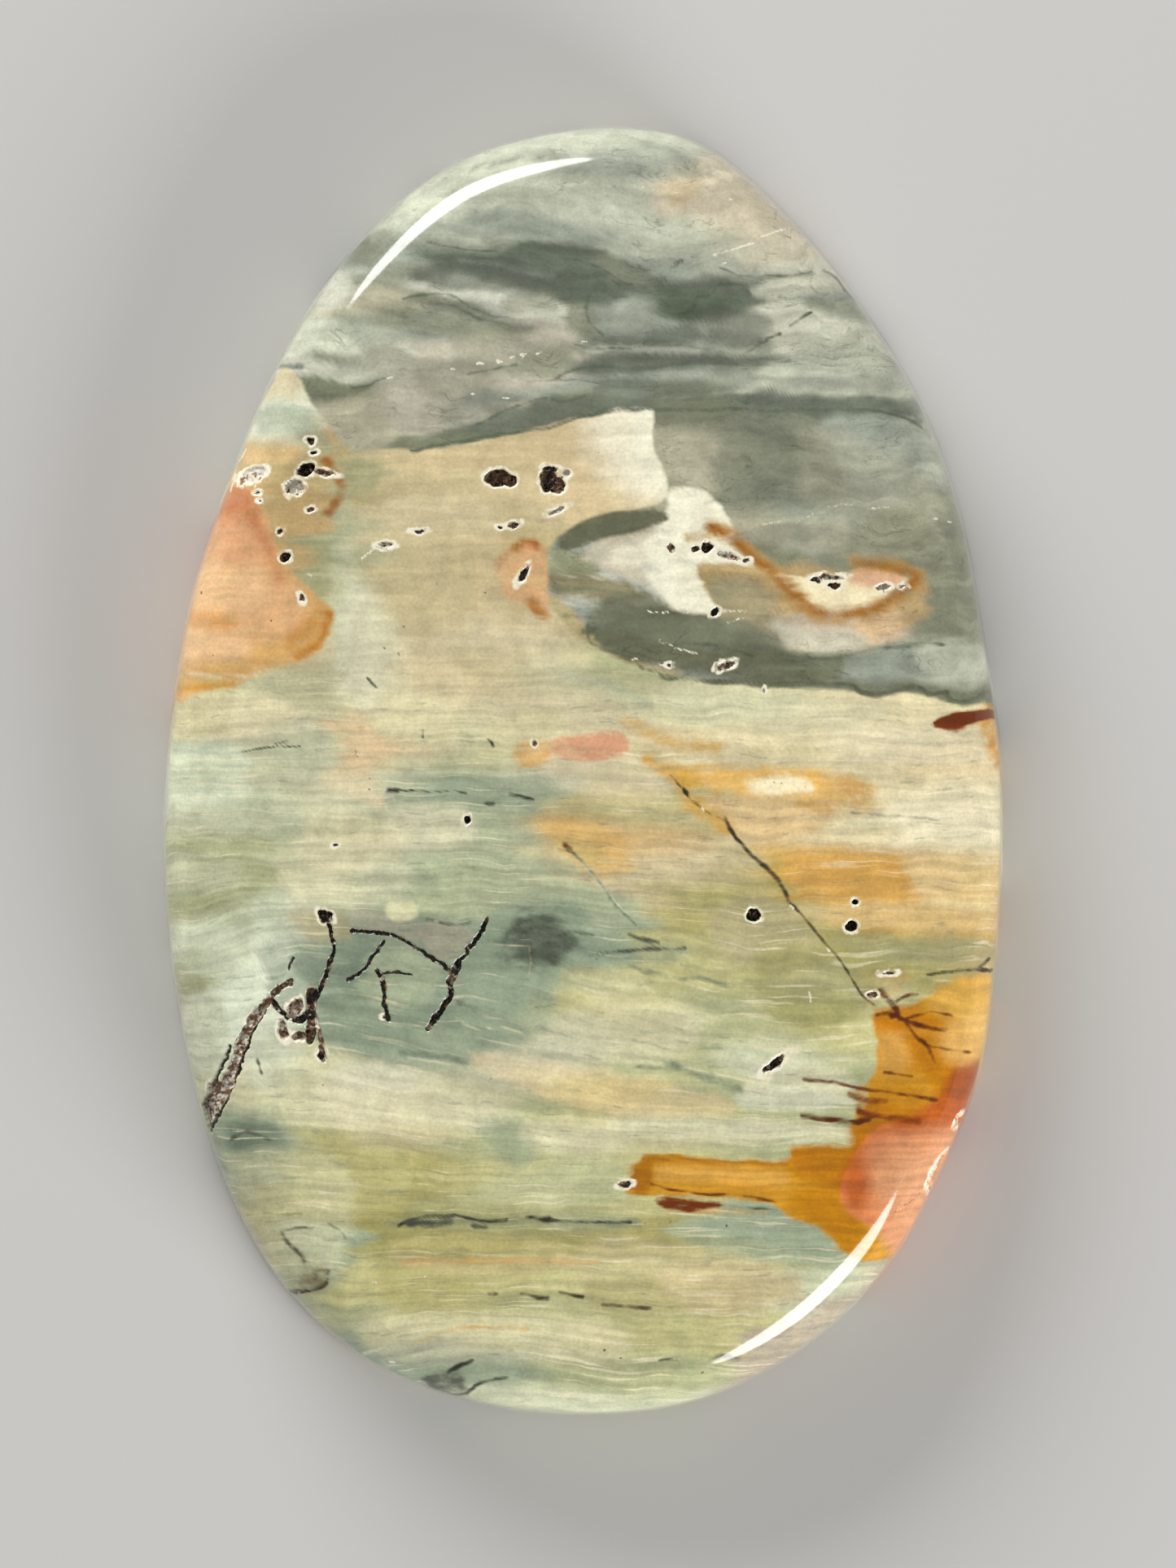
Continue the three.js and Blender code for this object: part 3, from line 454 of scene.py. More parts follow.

# Soft wisps in the chert, and a painted pale sheen along the top rim
ASH_WASHES: tuple[Patch | Streak, ...] = (
    # painted reflection: the pale sheen on the top rim beyond the upper-left highlight
    Streak(Tint.ASH_PALE, (-3.8, 24, -1.5, 24.4, 0.8, 24.3), 0.8, 0.4, 0.8),
    Streak(Tint.ASH_DARK, (-4.2, 23.2, -3.2, 23.5, -1.8, 23.6), 0.2, 0.2, 0.6),
    Patch(Tint.ASH_PALE, (-2.4, 22.3, -0.6, 22.7, 1.6, 22.7, 2.7, 22, 1.8, 20.8, 0, 20.9, -1.6,
        21.4), 0.5, 0.8),
    Patch(Tint.ASH_DARK, (-6.4, 20.2, -5, 20.1, 0.8, 18.9, 1.6, 18.2, 0.6, 17.8, -0.6, 18.2, -3, 18.4, -5.8,
        19.7), 0.25, 0.75),
    Streak(Tint.ASH_GREEN, (-4.6, 19.6, -1.2, 19), 0.16, 0.15, 0.6),
    Streak(Tint.SLATE_DEEP, (-3.7, 20.3, -0.6, 20.1, 0.8, 19.8, 2.9, 18.8), 0.3, 0.2, 0.75),
    Patch(Tint.MOSS_GREY, (0.4, 19.9, 1.6, 19.6, 2.6, 19.1, 3, 18.5, 1.8, 18.6, 0.8, 19.1), 0.2, 0.7),
    Patch(Tint.MOSS_GREY, (-6.8, 18.3, -5.9, 18.4, -5, 18.2, -3.4, 17.4, -2.4, 17.2, -1.6, 16.9, -2.6, 16.8,
        -3.8, 17.1, -6, 17.9), 0.15, 0.8),
    Patch(Tint.OLIVE_GREY, (-9.6, 17.9, -8.4, 17.5, -6.8, 17.9, -2.4, 16.8, -3.6, 16.6, -7.4, 17, -9.4,
        17.4), 0.35, 0.7),
    Patch(Tint.OLIVE_GREY, (-8.8, 19, -7, 19.5, -5.6, 19.3, -7.8, 18.4, -8.9, 18.3), 0.3, 0.6),
    Patch(Tint.CHALK, (-9.6, 19.3, -8.8, 18.9, -9, 18.2, -9.6, 17.8, -10.5, 17.8, -10.2, 18.7), 0.3, 0.8),
    Patch(Tint.MOSS_GREY, (-9.2, 20.2, -8.4, 20.6, -7.6, 20.5, -7.4, 19.9, -8.2, 19.5, -9,
        19.6), 0.25, 0.8),
    Streak(Tint.ASH_PALE, (-8.4, 21, -7.2, 21.3, -6.2, 22.2), 0.5, 0.3, 0.7),
    Patch(Tint.MILK, (-10.2, 16.4, -9.4, 16.6, -8.7, 16.3, -8.4, 15.8, -9.9, 16.1), 0.15, 0.9),
    Streak(Tint.OLIVE_GREY, (-10.2, 15.9, -8.7, 15.6), 0.3, 0.15, 0.8),
    Streak(Tint.BONE, (-11, 15.9, -10.3, 15.6, -9.7, 15.1, -9, 15, -8.2, 15.2), 0.35, 0.12, 0.9),
    Patch(Tint.MOSS, (-10.8, 15.2, -9.6, 14.8, -8.4, 14.8, -7.8, 15.1, -8.5, 14.7, -9.8, 14.2, -10.3, 14.3,
        -10.6, 14.7), 0.12, 0.85),
    Patch(Tint.OLIVE_GREY, (-2.6, 15.9, -1.4, 16.2, -0.4, 16.2, -0.6, 15.3, -1.8, 15.1, -2.8,
        15.3), 0.3, 0.6),
    Patch(Tint.SLATE, (-4.3, 12.8, -4, 13.3, -3.2, 13.8, -2.3, 14, -1.8, 14.4, -1.2, 14.6, -0.6, 14.2, 0.1,
        14.5, 0.6, 14.2, 1.2, 13.9, 0, 13.7, -1.4, 13.2), 0.12, 0.8),
    Patch(Tint.ASH_GREEN, (-4.6, 14.6, -3, 14.6, 2.6, 15.2, 2.6, 14.8, -1, 14.5, -4, 14), 0.25, 0.7),
    Patch(Tint.SLATE, (-1.1, 15.1, -0.6, 15.3, 2.1, 15.2, 3, 15.4, 6, 15.7, 7.6, 15.7, 7.4, 15.9, 3.4, 16,
        0.6, 15.9, -0.2, 15.6), 0.12, 0.85),
    Streak(Tint.ASH_PALE, (0.2, 16.1, 2, 16.2, 5.8, 16.1), 0.22, 0.15, 0.7),
    Patch(Tint.SLATE, (2, 16.4, 3.6, 17.2, 4.3, 17, 4.6, 16.6, 3.6, 16.4), 0.2, 0.8),
    Patch(Tint.ASH, (1, 17, 1.3, 17.9, 2, 18, 2.7, 17.6, 2.6, 17.1, 1.9, 16.9), 0.3, 0.4),
    Patch(Tint.OLIVE_GREY, (-0.6, 17.9, 0.4, 17.9, 0.8, 17.2, 0.4, 16.7, -0.4, 16.9), 0.3, 0.7),
    Patch(Tint.BONE, (6.3, 18.5, 7.4, 18.9, 8.6, 18.9, 8.7, 18.6, 7.8, 18.3, 6.8, 18.2), 0.15, 0.8),
    Streak(Tint.OLIVE_GREY, (8.8, 18, 11.2, 17.6), 0.35, 0.2, 0.8),
    Patch(Tint.ASH, (8.2, 16.2, 11.6, 16.4, 12.4, 15.4, 12, 14.6, 9.6, 14.6, 8, 15), 0.4, 0.8),
    Patch(Tint.SLATE, (7.1, 14.8, 8.2, 14.3, 9.6, 14.4, 11, 14.4, 12.2, 14.1, 13, 13.6, 13.2, 13.2, 12.2,
        13.8, 10.4, 13.9, 8, 13.8, 6.4, 13.8, 6, 14.1), 0.15, 0.8),
    Patch(Tint.BISCUIT, (3.2, 22.6, 4.4, 22.9, 4.6, 22.3, 3.9, 21.6, 3.2, 21.9), 0.3, 0.4),
    Patch(Tint.ASH, (4.2, 20, 6.6, 19.3, 8.2, 19.1, 7.2, 18.9, 5.6, 18.9, 4.4, 19.3), 0.25, 0.7),
    Streak(Tint.MOSS_GREY, (4.6, 19.2, 6, 18.9, 8.8, 19.1), 0.14, 0.12, 0.6),
    Streak(Tint.ASH_GREEN, (0.6, 23.6, 2.4, 23.8, 4.2, 23.5), 0.6, 0.3, 0.7),
    Streak(Tint.SLATE, (-2.2, 22.75, 1, 23.1, 5, 22.95), 0.1, 0.1, 0.6),
    Patch(Tint.MOSS_GREY, (5.6, 13.6, 9, 13.7, 9.2, 12.4, 10, 11.8, 9.8, 11, 7.4, 10.6, 5.6, 10.7, 5,
        11.6), 0.4, 0.6),
    Patch(Tint.ASH_GREEN, (9.2, 13.6, 12.4, 13.6, 13.2, 12.6, 12.6, 11.2, 10.4, 11.2, 9.6, 12.2), 0.4, 0.8),
    Patch(Tint.WARM_GREY, (6.6, 9.4, 10, 9.6, 10.2, 8.6, 8.6, 8.4, 7.2, 8.6), 0.4, 0.6),
    Streak(Tint.ASH_PALE, (13.4, 10.2, 13.6, 9, 14, 8), 0.3, 0.3, 0.5),
    Patch(Tint.UMBER, (4.4, 7.7, 5.6, 7.6, 6, 6.8, 5.2, 6.5, 4.7, 7), 0.3, 0.55),
    Patch(Tint.UMBER, (-1.2, 7.7, 1.2, 7.3, 2.2, 6.9, 1.8, 6.4, -1.2, 6.8), 0.2, 0.8),
    Patch(Tint.LICHEN, (-1.4, 8.5, -0.4, 8.4, 0.4, 8.1, 0.4, 7.6, -1.4, 7.7), 0.2, 0.7),
    Streak(Tint.CHALK, (-1, 6.5, 0.2, 6.5, 1, 6.2), 0.25, 0.15, 0.8),
    Patch(Tint.LENS_GREEN, (0.9, 6.5, 1.8, 6.9, 2.6, 6.8, 3.2, 6.3, 4.4, 6, 6.2, 5.9, 5, 5.6, 2.6, 5.6, 0.7,
        5.9), 0.16, 0.75),
    Patch(Tint.MOSS, (0.5, 6.3, 1.6, 6.4, 3.2, 6, 6.6, 5.5, 7.8, 4.8, 7.2, 4.2, 5.4, 4.6, 1.6, 4.6, 0.4,
        4.9, 0.2, 5.5), 0.2, 0.75),
    Patch(Tint.LENS_GREEN, (0.3, 5.4, 1.4, 5.3, 4.6, 4.6, 6.4, 4.9, 7.6, 4.6, 9, 4, 9.8, 3.5, 8, 3.3, 5.8,
        3.5, 1.2, 4.5), 0.15, 0.7),
    Patch(Tint.SAND, (-1.6, 6.7, -0.5, 6.3, 0.5, 4.9, 2.4, 4, 4, 3.8, 2.4, 3.5, 0.2, 4.2, -1,
        5.2), 0.14, 0.85),
    Streak(Tint.MOSS, (7.8, 4.5, 9.2, 4.3, 11.6, 4.8, 13.2, 4.9), 0.14, 0.12, 0.8),
    Patch(Tint.ASH_PALE, (13, 4.8, 14.4, 5.1, 15.2, 4.6, 15.5, 3.6, 14.6, 3.1, 13.6, 3.5, 12.8,
        4.2), 0.3, 0.8),
    Patch(Tint.ASH_GREEN, (10.6, 4.6, 12.6, 4.7, 12.8, 3.9, 12, 3.3, 10.6, 3.4, 10, 4), 0.25, 0.6),
    Patch(Tint.SLATE, (4.6, 16.6, 5.8, 17, 7, 16.7, 7.4, 16, 6.6, 15.2, 4.8, 15.2), 0.35, 0.5),
    Patch(Tint.ASH_PALE, (8.8, 17, 11.4, 16.6, 11.6, 15.4, 9.4, 15, 8.6, 15.8), 0.4, 0.5),
    Patch(Tint.SLATE, (0.6, 14.9, 3, 15, 4.8, 14.7, 4.8, 13.6, 3.2, 13.5, 1, 13.9), 0.25, 0.6),
    Patch(Tint.SLATE, (4.8, 17.7, 6.6, 17.8, 7.2, 17, 6.8, 16.3, 5, 16.4), 0.35, 0.55),
    Patch(Tint.SLATE, (-6.4, 19.3, -3.4, 19.5, -1.8, 18.9, -3.4, 18.4, -6, 18.6), 0.25, 0.75),
    Patch(Tint.OLIVE_GREY, (-3, 18.3, -1.2, 18.4, -1, 17.7, -2.8, 17.6), 0.25, 0.5),
    Patch(Tint.OLIVE_GREY, (-6.4, 15.6, -3.8, 15.7, -3.8, 14.6, -6.2, 14.4), 0.4, 0.45),
    Patch(Tint.SLATE, (-5, 14.2, -3, 14.6, -2.6, 13.8, -4.2, 13, -5.2, 13.2), 0.3, 0.4),
    Patch(Tint.MOSS, (2.7, 14.9, 5.4, 14.9, 6, 14, 4.8, 13.2, 2.8, 13.2), 0.35, 0.6),
    Patch(Tint.OLIVE_GREY, (-4.6, 16.9, -0.6, 16.4, -0.8, 15.3, -3.4, 15.2, -5, 16), 0.5, 0.45),
    Patch(Tint.ASH_PALE, (-9.2, 17.2, -6.8, 16.8, -6.6, 15.2, -8.4, 14.9, -9.6, 15.8), 0.5, 0.45),
    Patch(Tint.ASH_PALE, (-7.8, 21.4, -2.8, 20.6, -3.6, 19.9, -8.2, 20.4), 0.35, 0.4),
    Patch(Tint.WARM_GREY, (8.4, 13, 11.2, 12.6, 13.2, 11.2, 13.6, 8.4, 12, 7.8, 9, 8.2), 0.8, 0.4),
    Patch(Tint.HONEY, (10.4, 5.9, 11.8, 6.4, 13, 7.2, 13.2, 6.6, 12.6, 5.4, 10.6, 5), 0.35, 0.5),
    Patch(Tint.BONE, (7.4, 5.8, 8.6, 5.5, 10.4, 5.4, 10.8, 4.8, 9, 4.5, 7.6, 5), 0.3, 0.65),
    Patch(Tint.OLIVE_GREY, (5, 7.3, 6.8, 7.4, 7.4, 6.6, 7.2, 5.7, 5.2, 5.6), 0.4, 0.6),
)

# Folds of the bedding
FOLDS: tuple[Fold, ...] = (
    Fold(-4.0, -21.8, 3.5, 2.0, 0.7),
    Fold(-10.0, -9.0, 3.0, 2.2, 0.5),
    Fold(-1.0, -10.2, 2.6, 1.0, -0.25),
    Fold(2.0, 17.6, 2.2, 1.4, 0.45),
    Fold(-3.0, 17.0, 3.4, 1.6, 0.4),
)
STEPS: tuple[Step, ...] = (
    Step(1.0, 7.0, -1.2, -9.0, 7.0),
    Step(-13.5, 1.5, 0.8, -6.0, 2.0),
    Step(-8.0, 4.0, -1.2, -13.0, 2.5),
    Step(-3.0, 8.0, -1.2, 19.0, 4.0),
)

# White and cream chalcedony, and a painted highlight on the lip of a shallow dished chip
PALE: tuple[Patch | Streak, ...] = (
    Patch(Tint.ROSE_CREAM, (3.2, 6.8, 2.4, 7.2, 0.6, 7.9, 0, 8.25, 1, 8.9, 2, 9.1, 3, 9.4, 3.4,
        8.4), 0.2, 0.8),
    Patch(Tint.CREAM, (1, 8, 1.6, 8.6, 2.6, 8.8, 2.9, 8.2, 2.2, 7.8), 0.25, 0.7),
    Patch(Tint.WHITE, (3.25, 10.75, 3.9, 10.85, 4.6, 10.75, 5.2, 10.3, 5.55, 9.8, 5.75, 9.2, 5.75, 8.75,
        6.1, 8.3, 6.6, 7.9, 6.2, 7.85, 5.3, 7.95, 4.5, 7.9, 4.45, 7.4, 5.1, 6.3, 5.6, 6.15, 4.9, 6, 4, 6.05,
        3.4, 6.3, 2.5, 7.4, 2.6, 8, 2.3, 8.7, 2.8, 9.2, 3.2, 10), 0.12, 0.95),
    Patch(Tint.LENS_CREAM, (7.2, 7.75, 7.9, 7.5, 8.6, 7.35, 9.5, 7.3, 10.1, 7.35, 10.5, 7.7, 11.2, 7.75,
        12.5, 7.35, 12, 7.05, 11.5, 6.6, 10.9, 6.3, 10.2, 6.15, 9.4, 6.1, 8.8, 6.3, 7.6, 7.2), 0.08),
    Patch(Tint.ROSE, (10.2, 7.5, 10.9, 7.75, 11.9, 7.55, 12.3, 7.35, 11.6, 7.1, 10.6, 7.2), 0.2, 0.8),
    Streak(Tint.CHALK, (-1.1, 6.4, -0.2, 6.35, 0.6, 6.2), 0.1, 0.08, 0.8),
    Streak(Tint.CHALK, (-1.2, 7.5, 0.8, 7.35), 0.08, 0.08, 0.6),
    Streak(Tint.OATMEAL, (-7.2, -5.4, -6.7, -5.4), 0.75, 0.12),
    Streak(Tint.OATMEAL, (-11.6, -3.85, -11.2, -3.85), 0.22, 0.08),
    Streak(Tint.OATMEAL, (8, -1.8, 13, -2.15), 0.12, 0.08, 0.8),
    Streak(Tint.OATMEAL, (-10.5, -1.85, -9.4, -1.8, -7.9, -1.95), 0.1, 0.06, 0.8),
    Streak(Tint.OATMEAL, (-11, -1.45, -9.6, -1.6, -8, -1.9), 0.08, 0.05, 0.7),
    Streak(Tint.OATMEAL, (-15, -2.5, -13.5, -2.7, -12.2, -2.3), 0.1, 0.06, 0.7),
    # painted highlight: the bright curved lip of a shallow dished chip by the right side of the narrow end,
    # which is painted, not carved
    Streak(Tint.CREAM, (9.6, 19.3, 9.95, 19.05, 10.2, 18.7), 0.09, 0.05, 0.9),
    Streak(Tint.OATMEAL, (-8.5, -22.5, -6, -21.9, -4, -21.7, -1.5, -22), 0.1, 0.06, 0.8),
    Streak(Tint.OATMEAL, (-5, -9.5, -4, -9.9, -3, -9.9, -2.2, -10.2, -2.3, -10.7, -1, -10.6, 0.3,
        -10.8), 0.1, 0.05, 0.9),
    Streak(Tint.OATMEAL, (1, -11, 4.5, -11.5, 6.6, -12), 0.12, 0.06, 0.9),
    Streak(Tint.OATMEAL, (-2.05, -6.8, -2, -7.4, -2.05, -7.9), 0.07, 0.04, 0.9),
    Streak(Tint.OATMEAL, (1.2, -17, 4.4, -17.1, 7.4, -17.3), 0.1, 0.06, 0.6),
    Streak(Tint.OATMEAL, (-0.4, -15, 0.8, -14.7, 2, -14.65), 0.1, 0.07, 0.6),
    Streak(Tint.VELLUM, (7, -11.9, 7.5, -11.2, 8.2, -10.75), 0.35, 0.15, 0.9),
    Streak(Tint.MILK, (-2.3, -10.6, -1.6, -10.65, -0.9, -10.6), 0.05, 0.05, 0.8),
    Streak(Tint.MILK, (0, -3.5, 0.5, -4.2, 1.2, -5, 1.7, -5.55), 0.06, 0.06, 0.6),
)

# Iron-stained areas, from ochre to red
WARM: tuple[Patch | Streak, ...] = (
    Patch(Tint.HONEY, (-17, 2.7, -14.5, 3.05, -13, 3.5, -12, 3.9, -10.6, 4.3, -10.1, 4.7, -9.75, 5.4, -9.6,
        6.1, -10.5, 7, -11, 7.4, -11.5, 8, -12.2, 9.8, -12.5, 10.4, -12.5, 10.8, -14.1, 10.9, -17,
        9), 0.16, 0.95),
    Patch(Tint.PEACH, (-17, 4.9, -11.6, 5.3, -10.7, 6.2, -11.2, 7.2, -11.9, 8.2, -12.7, 10.6, -14.1, 10.8,
        -17, 9), 0.4, 0.9),
    Patch(Tint.PALE_PEACH, (-17, 6, -14.5, 6.1, -12.6, 6.3, -12.4, 7.4, -13.4, 8, -17, 7.8), 0.4, 0.7),
    Patch(Tint.CORAL, (-17, 8.6, -14.4, 8.4, -13.2, 8, -12.2, 8.6, -12.5, 9.8, -12.8, 10.6, -14.1, 10.8,
        -17, 10), 0.4, 0.8),
    Streak(Tint.RED_EARTH, (-12.7, 9.9, -12.4, 9, -12, 8.3, -11.6, 7.4), 0.15, 0.3, 0.4),
    Patch(Tint.RED_EARTH, (-14.2, 10.8, -13.4, 10.9, -12.7, 10.6, -12.8, 9.9, -13.6, 9.8, -14.5,
        10.1), 0.4, 0.5),
    Patch(Tint.PALE_PEACH, (-17, 4.2, -14.6, 4.3, -13, 4.5, -13.6, 5.2, -17, 5.3), 0.3, 0.9),
    Streak(Tint.AMBER, (-16.2, 5.9, -14.8, 5.9, -13.6, 5.6), 0.3, 0.3, 0.5),
    Streak(Tint.VELLUM, (-16.4, 3.75, -13, 3.6, -12.5, 3.85), 0.06, 0.06, 0.6),
    Streak(Tint.AMBER, (-11.2, 5, -10.2, 5.9), 0.3, 0.3, 0.5),
    Streak(Tint.OCHRE, (-16.6, 3.05, -15, 3.15, -13.4, 3.35), 0.2, 0.15, 0.7),
    Streak(Tint.DEEP_OCHRE, (-9.75, 6, -9.85, 5.4, -10.15, 4.8, -10.9, 4.4), 0.18, 0.18, 0.8),
    Patch(Tint.PEACH, (-2.7, 8.6, -1.8, 8.7, -1.45, 8, -1.4, 7.2, -1.5, 6.2, -2.2, 6.4, -3, 6.9, -3.3,
        7.8), 0.25, 0.75),
    Streak(Tint.RUST, (-2.6, 8.6, -2.2, 8.85, -1.75, 8.7), 0.3, 0.12, 0.9),
    Streak(Tint.LENS_RUST, (-3.3, 7.9, -2.9, 8.4, -2.5, 8.6), 0.2, 0.16, 0.7),
    Streak(Tint.LENS_RUST, (-2, 6.45, -1.75, 6.1, -1.5, 5.95), 0.35, 0.16, 0.85),
    Streak(Tint.HONEY, (-2.2, 0.6, -1.6, 0.65), 0.9, 0.3, 0.8),
    Patch(Tint.ROSE, (-1.2, 0.9, -0.7, 1.3, 1.1, 1.5, 1.6, 1.3, 1.7, 0.7, 1.2, 0.5, 0.2, 0.4, -0.8,
        0.5), 0.14, 0.95),
    Streak(Tint.OCHRE_WASH, (1.6, 1.8, 3, 1.3, 5.2, 0.8), 0.3, 0.3, 0.6),
    Streak(Tint.OCHRE, (2.4, 0.4, 3.3, -0.2), 0.3, 0.2, 0.8),
    Patch(Tint.OCHRE_WASH, (2.9, 0.15, 5, 0.1, 7.5, 0.15, 9.6, -0.1, 11, -0.5, 11.1, -0.9, 9.4, -1.1, 7, -1,
        5, -0.7, 3.6, -0.6), 0.25, 0.95),
    Patch(Tint.SUN, (4.6, -0.1, 6.6, 0, 9.4, -0.2, 9.8, -0.7, 7.4, -0.85, 5.4, -0.6), 0.25, 0.8),
    Patch(Tint.LENS_CREAM, (6.3, -0.6, 6.9, -0.3, 7.8, -0.2, 8.6, -0.4, 8.9, -0.7, 8.2, -0.85, 7,
        -0.9), 0.08),
    Streak(Tint.HONEY, (10, -0.6, 10.9, -0.8), 0.5, 0.25, 0.7),
    Streak(Tint.FAWN, (8.2, -1.3, 9.4, -1.35), 0.2, 0.2, 0.6),
    Streak(Tint.FAWN, (10, -1.2, 11, -1.3), 0.3, 0.2, 0.6),
    Streak(Tint.OCHRE_WASH, (3.9, -0.9, 4.6, -1.6, 5.4, -2.2), 0.5, 0.35, 0.8),
    Patch(Tint.OCHRE, (17, -7.8, 15.9, -8, 14.3, -8.1, 13.5, -8.6, 12.5, -9.1, 11.2, -9.3, 11.3, -10.5,
        11.3, -11.5, 11, -12, 10.9, -12.8, 10.5, -13.3, 10.4, -14, 10.2, -14.5, 8, -14.5, 7.9, -15, 5.5,
        -14.95, 4, -14.8, 2.3, -14.8, 1.7, -16, 2, -16.3, 5, -16.4, 7, -16.6, 7.8, -17.1, 8.8, -17.4, 9.5,
        -17.9, 10.1, -18.6, 10.7, -18.9, 12, -18.8, 13, -18.5, 17, -12), 0.1),
    Patch(Tint.GOLD, (14.2, -8.2, 17, -7.9, 17, -10, 15.4, -10.2, 14.6, -9.4, 13.6, -9), 0.5, 0.5),
    Patch(Tint.ORANGE, (11.5, -9.6, 12.4, -9.6, 12.9, -10.4, 12.4, -11.2, 11.6, -11.4), 0.3, 0.6),
    Patch(Tint.AMBER, (12.8, -10.3, 14.2, -10.1, 15, -10.8, 14, -11.4, 12.9, -11.3), 0.4, 0.8),
    Patch(Tint.AMBER, (11.2, -9.2, 12.6, -9.1, 13.4, -9.7, 12.4, -9.9, 11.3, -10), 0.2, 0.8),
    Streak(Tint.DEEP_OCHRE, (11.3, -9.5, 12.2, -9.7, 13.2, -9.6, 14.4, -9.9), 0.2, 0.2, 0.6),
    Streak(Tint.DEEP_OCHRE, (12.6, -10.2, 13.2, -11, 13.6, -11.8), 0.4, 0.25, 0.6),
    Patch(Tint.RUST, (10.6, -12.2, 11.8, -12.2, 13, -12.4, 12.6, -13, 11.4, -13, 10.7, -12.7), 0.25, 0.4),
    Patch(Tint.DEEP_OCHRE, (10.7, -13, 11.8, -13.1, 12.2, -13.6, 11.2, -13.9, 10.4, -14.5, 10.2,
        -13.9), 0.25, 0.9),
    Patch(Tint.DEEP_OCHRE, (8.1, -14.6, 9.6, -14.6, 10.2, -14.9, 10, -15.9, 9, -15.6, 8.3,
        -15.3), 0.35, 0.85),
    Patch(Tint.DEEP_OCHRE, (8.2, -16.6, 9.4, -16.3, 10.4, -17.2, 10.8, -18.4, 10, -18.2, 9.2,
        -17.4), 0.4, 0.6),
    Streak(Tint.RUST, (2.4, -14.95, 4, -14.95, 7.8, -15.1), 0.14, 0.12, 0.7),
    Patch(Tint.RUST, (1.8, -15.3, 2.4, -15.1, 2.6, -15.7, 2.3, -16.2, 1.9, -16), 0.2, 0.7),
    Streak(Tint.SUN, (3, -15.5, 4.6, -15.5, 7.6, -15.7), 0.3, 0.25, 0.35),
    Patch(Tint.SALMON, (10, -16.4, 10.1, -15.5, 10.9, -14.2, 11.5, -13.7, 12.5, -13.5, 13.8, -12.6, 14,
        -12.2, 14.6, -11.4, 15.3, -11.3, 17, -11.3, 17, -15, 13, -19.2, 12.2, -18.6, 11.6, -17.9, 10.6,
        -17.2, 10.2, -16.8), 0.1),
    Patch(Tint.RED_EARTH, (10.1, -15.9, 10.3, -15, 10.9, -14.3, 11.6, -13.8, 12.9, -13.5, 12.9, -13.9, 11.9,
        -14.3, 11.2, -15.1, 10.9, -16.2, 10.5, -16.8), 0.3, 0.65),
    Patch(Tint.CORAL, (11.8, -15.4, 13.2, -15.2, 13.6, -16.2, 12.6, -17.4, 11.6, -16.8), 0.5, 0.6),
    Patch(Tint.CORAL, (11.4, -17.7, 12.2, -17.3, 13.4, -17.6, 12.9, -18.8, 12, -18.6), 0.2, 0.6),
    Patch(Tint.RED_EARTH, (12.2, -13.5, 13.4, -12.9, 14.6, -11.2, 15.6, -11.1, 15.4, -12.4, 14.8, -13.4,
        13.6, -13.9, 12.4, -14), 0.3, 0.75),
    Patch(Tint.SUN, (14.2, -9.8, 15.6, -9.6, 15.6, -11, 14.6, -11.2, 14, -10.6), 0.35, 0.7),
    Patch(Tint.CORAL, (12.4, -15.2, 13.8, -14.6, 15, -13.8, 15, -15, 13.4, -17, 12.6, -16.6), 0.5, 0.45),
    Patch(Tint.MAROON, (14, -12.4, 14.4, -11.7, 15.2, -11.3, 15.4, -12, 14.8, -12.7), 0.2, 0.6),
    Streak(Tint.RUST, (-9.9, 11.9, -9.45, 11.3, -9.3, 10.7, -9.8, 9.9), 0.2, 0.2, 0.5),
    Streak(Tint.APRICOT, (-12.9, 12.3, -11.8, 12.1, -11, 12.3), 0.35, 0.3, 0.8),
    Patch(Tint.OCHRE, (15.2, 2.2, 16.6, 2.3, 16.6, 0, 15.9, 0.4), 0.3, 0.85),
    Streak(Tint.FAWN, (4.9, 9.35, 5.4, 9.15, 6.6, 8.15, 7.3, 7.7, 8.2, 6.6, 8.9, 6.1, 9.7, 5.95, 10.6, 6,
        11.4, 6.35, 12.9, 7.3, 12.3, 7.7, 11.5, 7.9, 10.5, 7.95), 0.55, 0.25, 0.8),
    Streak(Tint.LENS_RUST, (4.9, 9.3, 5.25, 9.2, 6.5, 8.15, 7.2, 7.8, 7.6, 7.2, 8.2, 6.65, 8.9, 6.15, 9.7,
        6, 10.6, 6.05, 11.4, 6.4, 12.75, 7.3, 12.3, 7.62, 11.5, 7.85, 10.5, 7.9), 0.22, 0.13, 0.95),
    Streak(Tint.RUST, (4.9, 9.35, 5.15, 9.15), 0.3, 0.1),
    Streak(Tint.FAWN, (4, 9, 4.9, 9.05), 0.3, 0.18, 0.7),
    Streak(Tint.HONEY, (-6.9, -18.9, -3, -18.8, 0.5, -18.9), 0.14, 0.12, 0.5),
    Streak(Tint.ORANGE, (3.4, -16.9, 7, -17), 0.12, 0.08, 0.7),
    Streak(Tint.ORANGE, (-6.9, -22.2, -4.6, -21.4, -2.2, -21.5), 0.1, 0.07, 0.45),
    Patch(Tint.MAROON, (13.5, 1.7, 14.1, 2.05, 15, 2.15, 14.9, 1.75, 14.4, 1.5, 13.9, 1.6), 0.07, 0.9),
    Patch(Tint.CORAL, (11.2, -14.4, 13, -13.9, 14.4, -14.2, 13.6, -16, 12.2, -16.6, 11.2, -15.6), 0.4, 0.5),
)
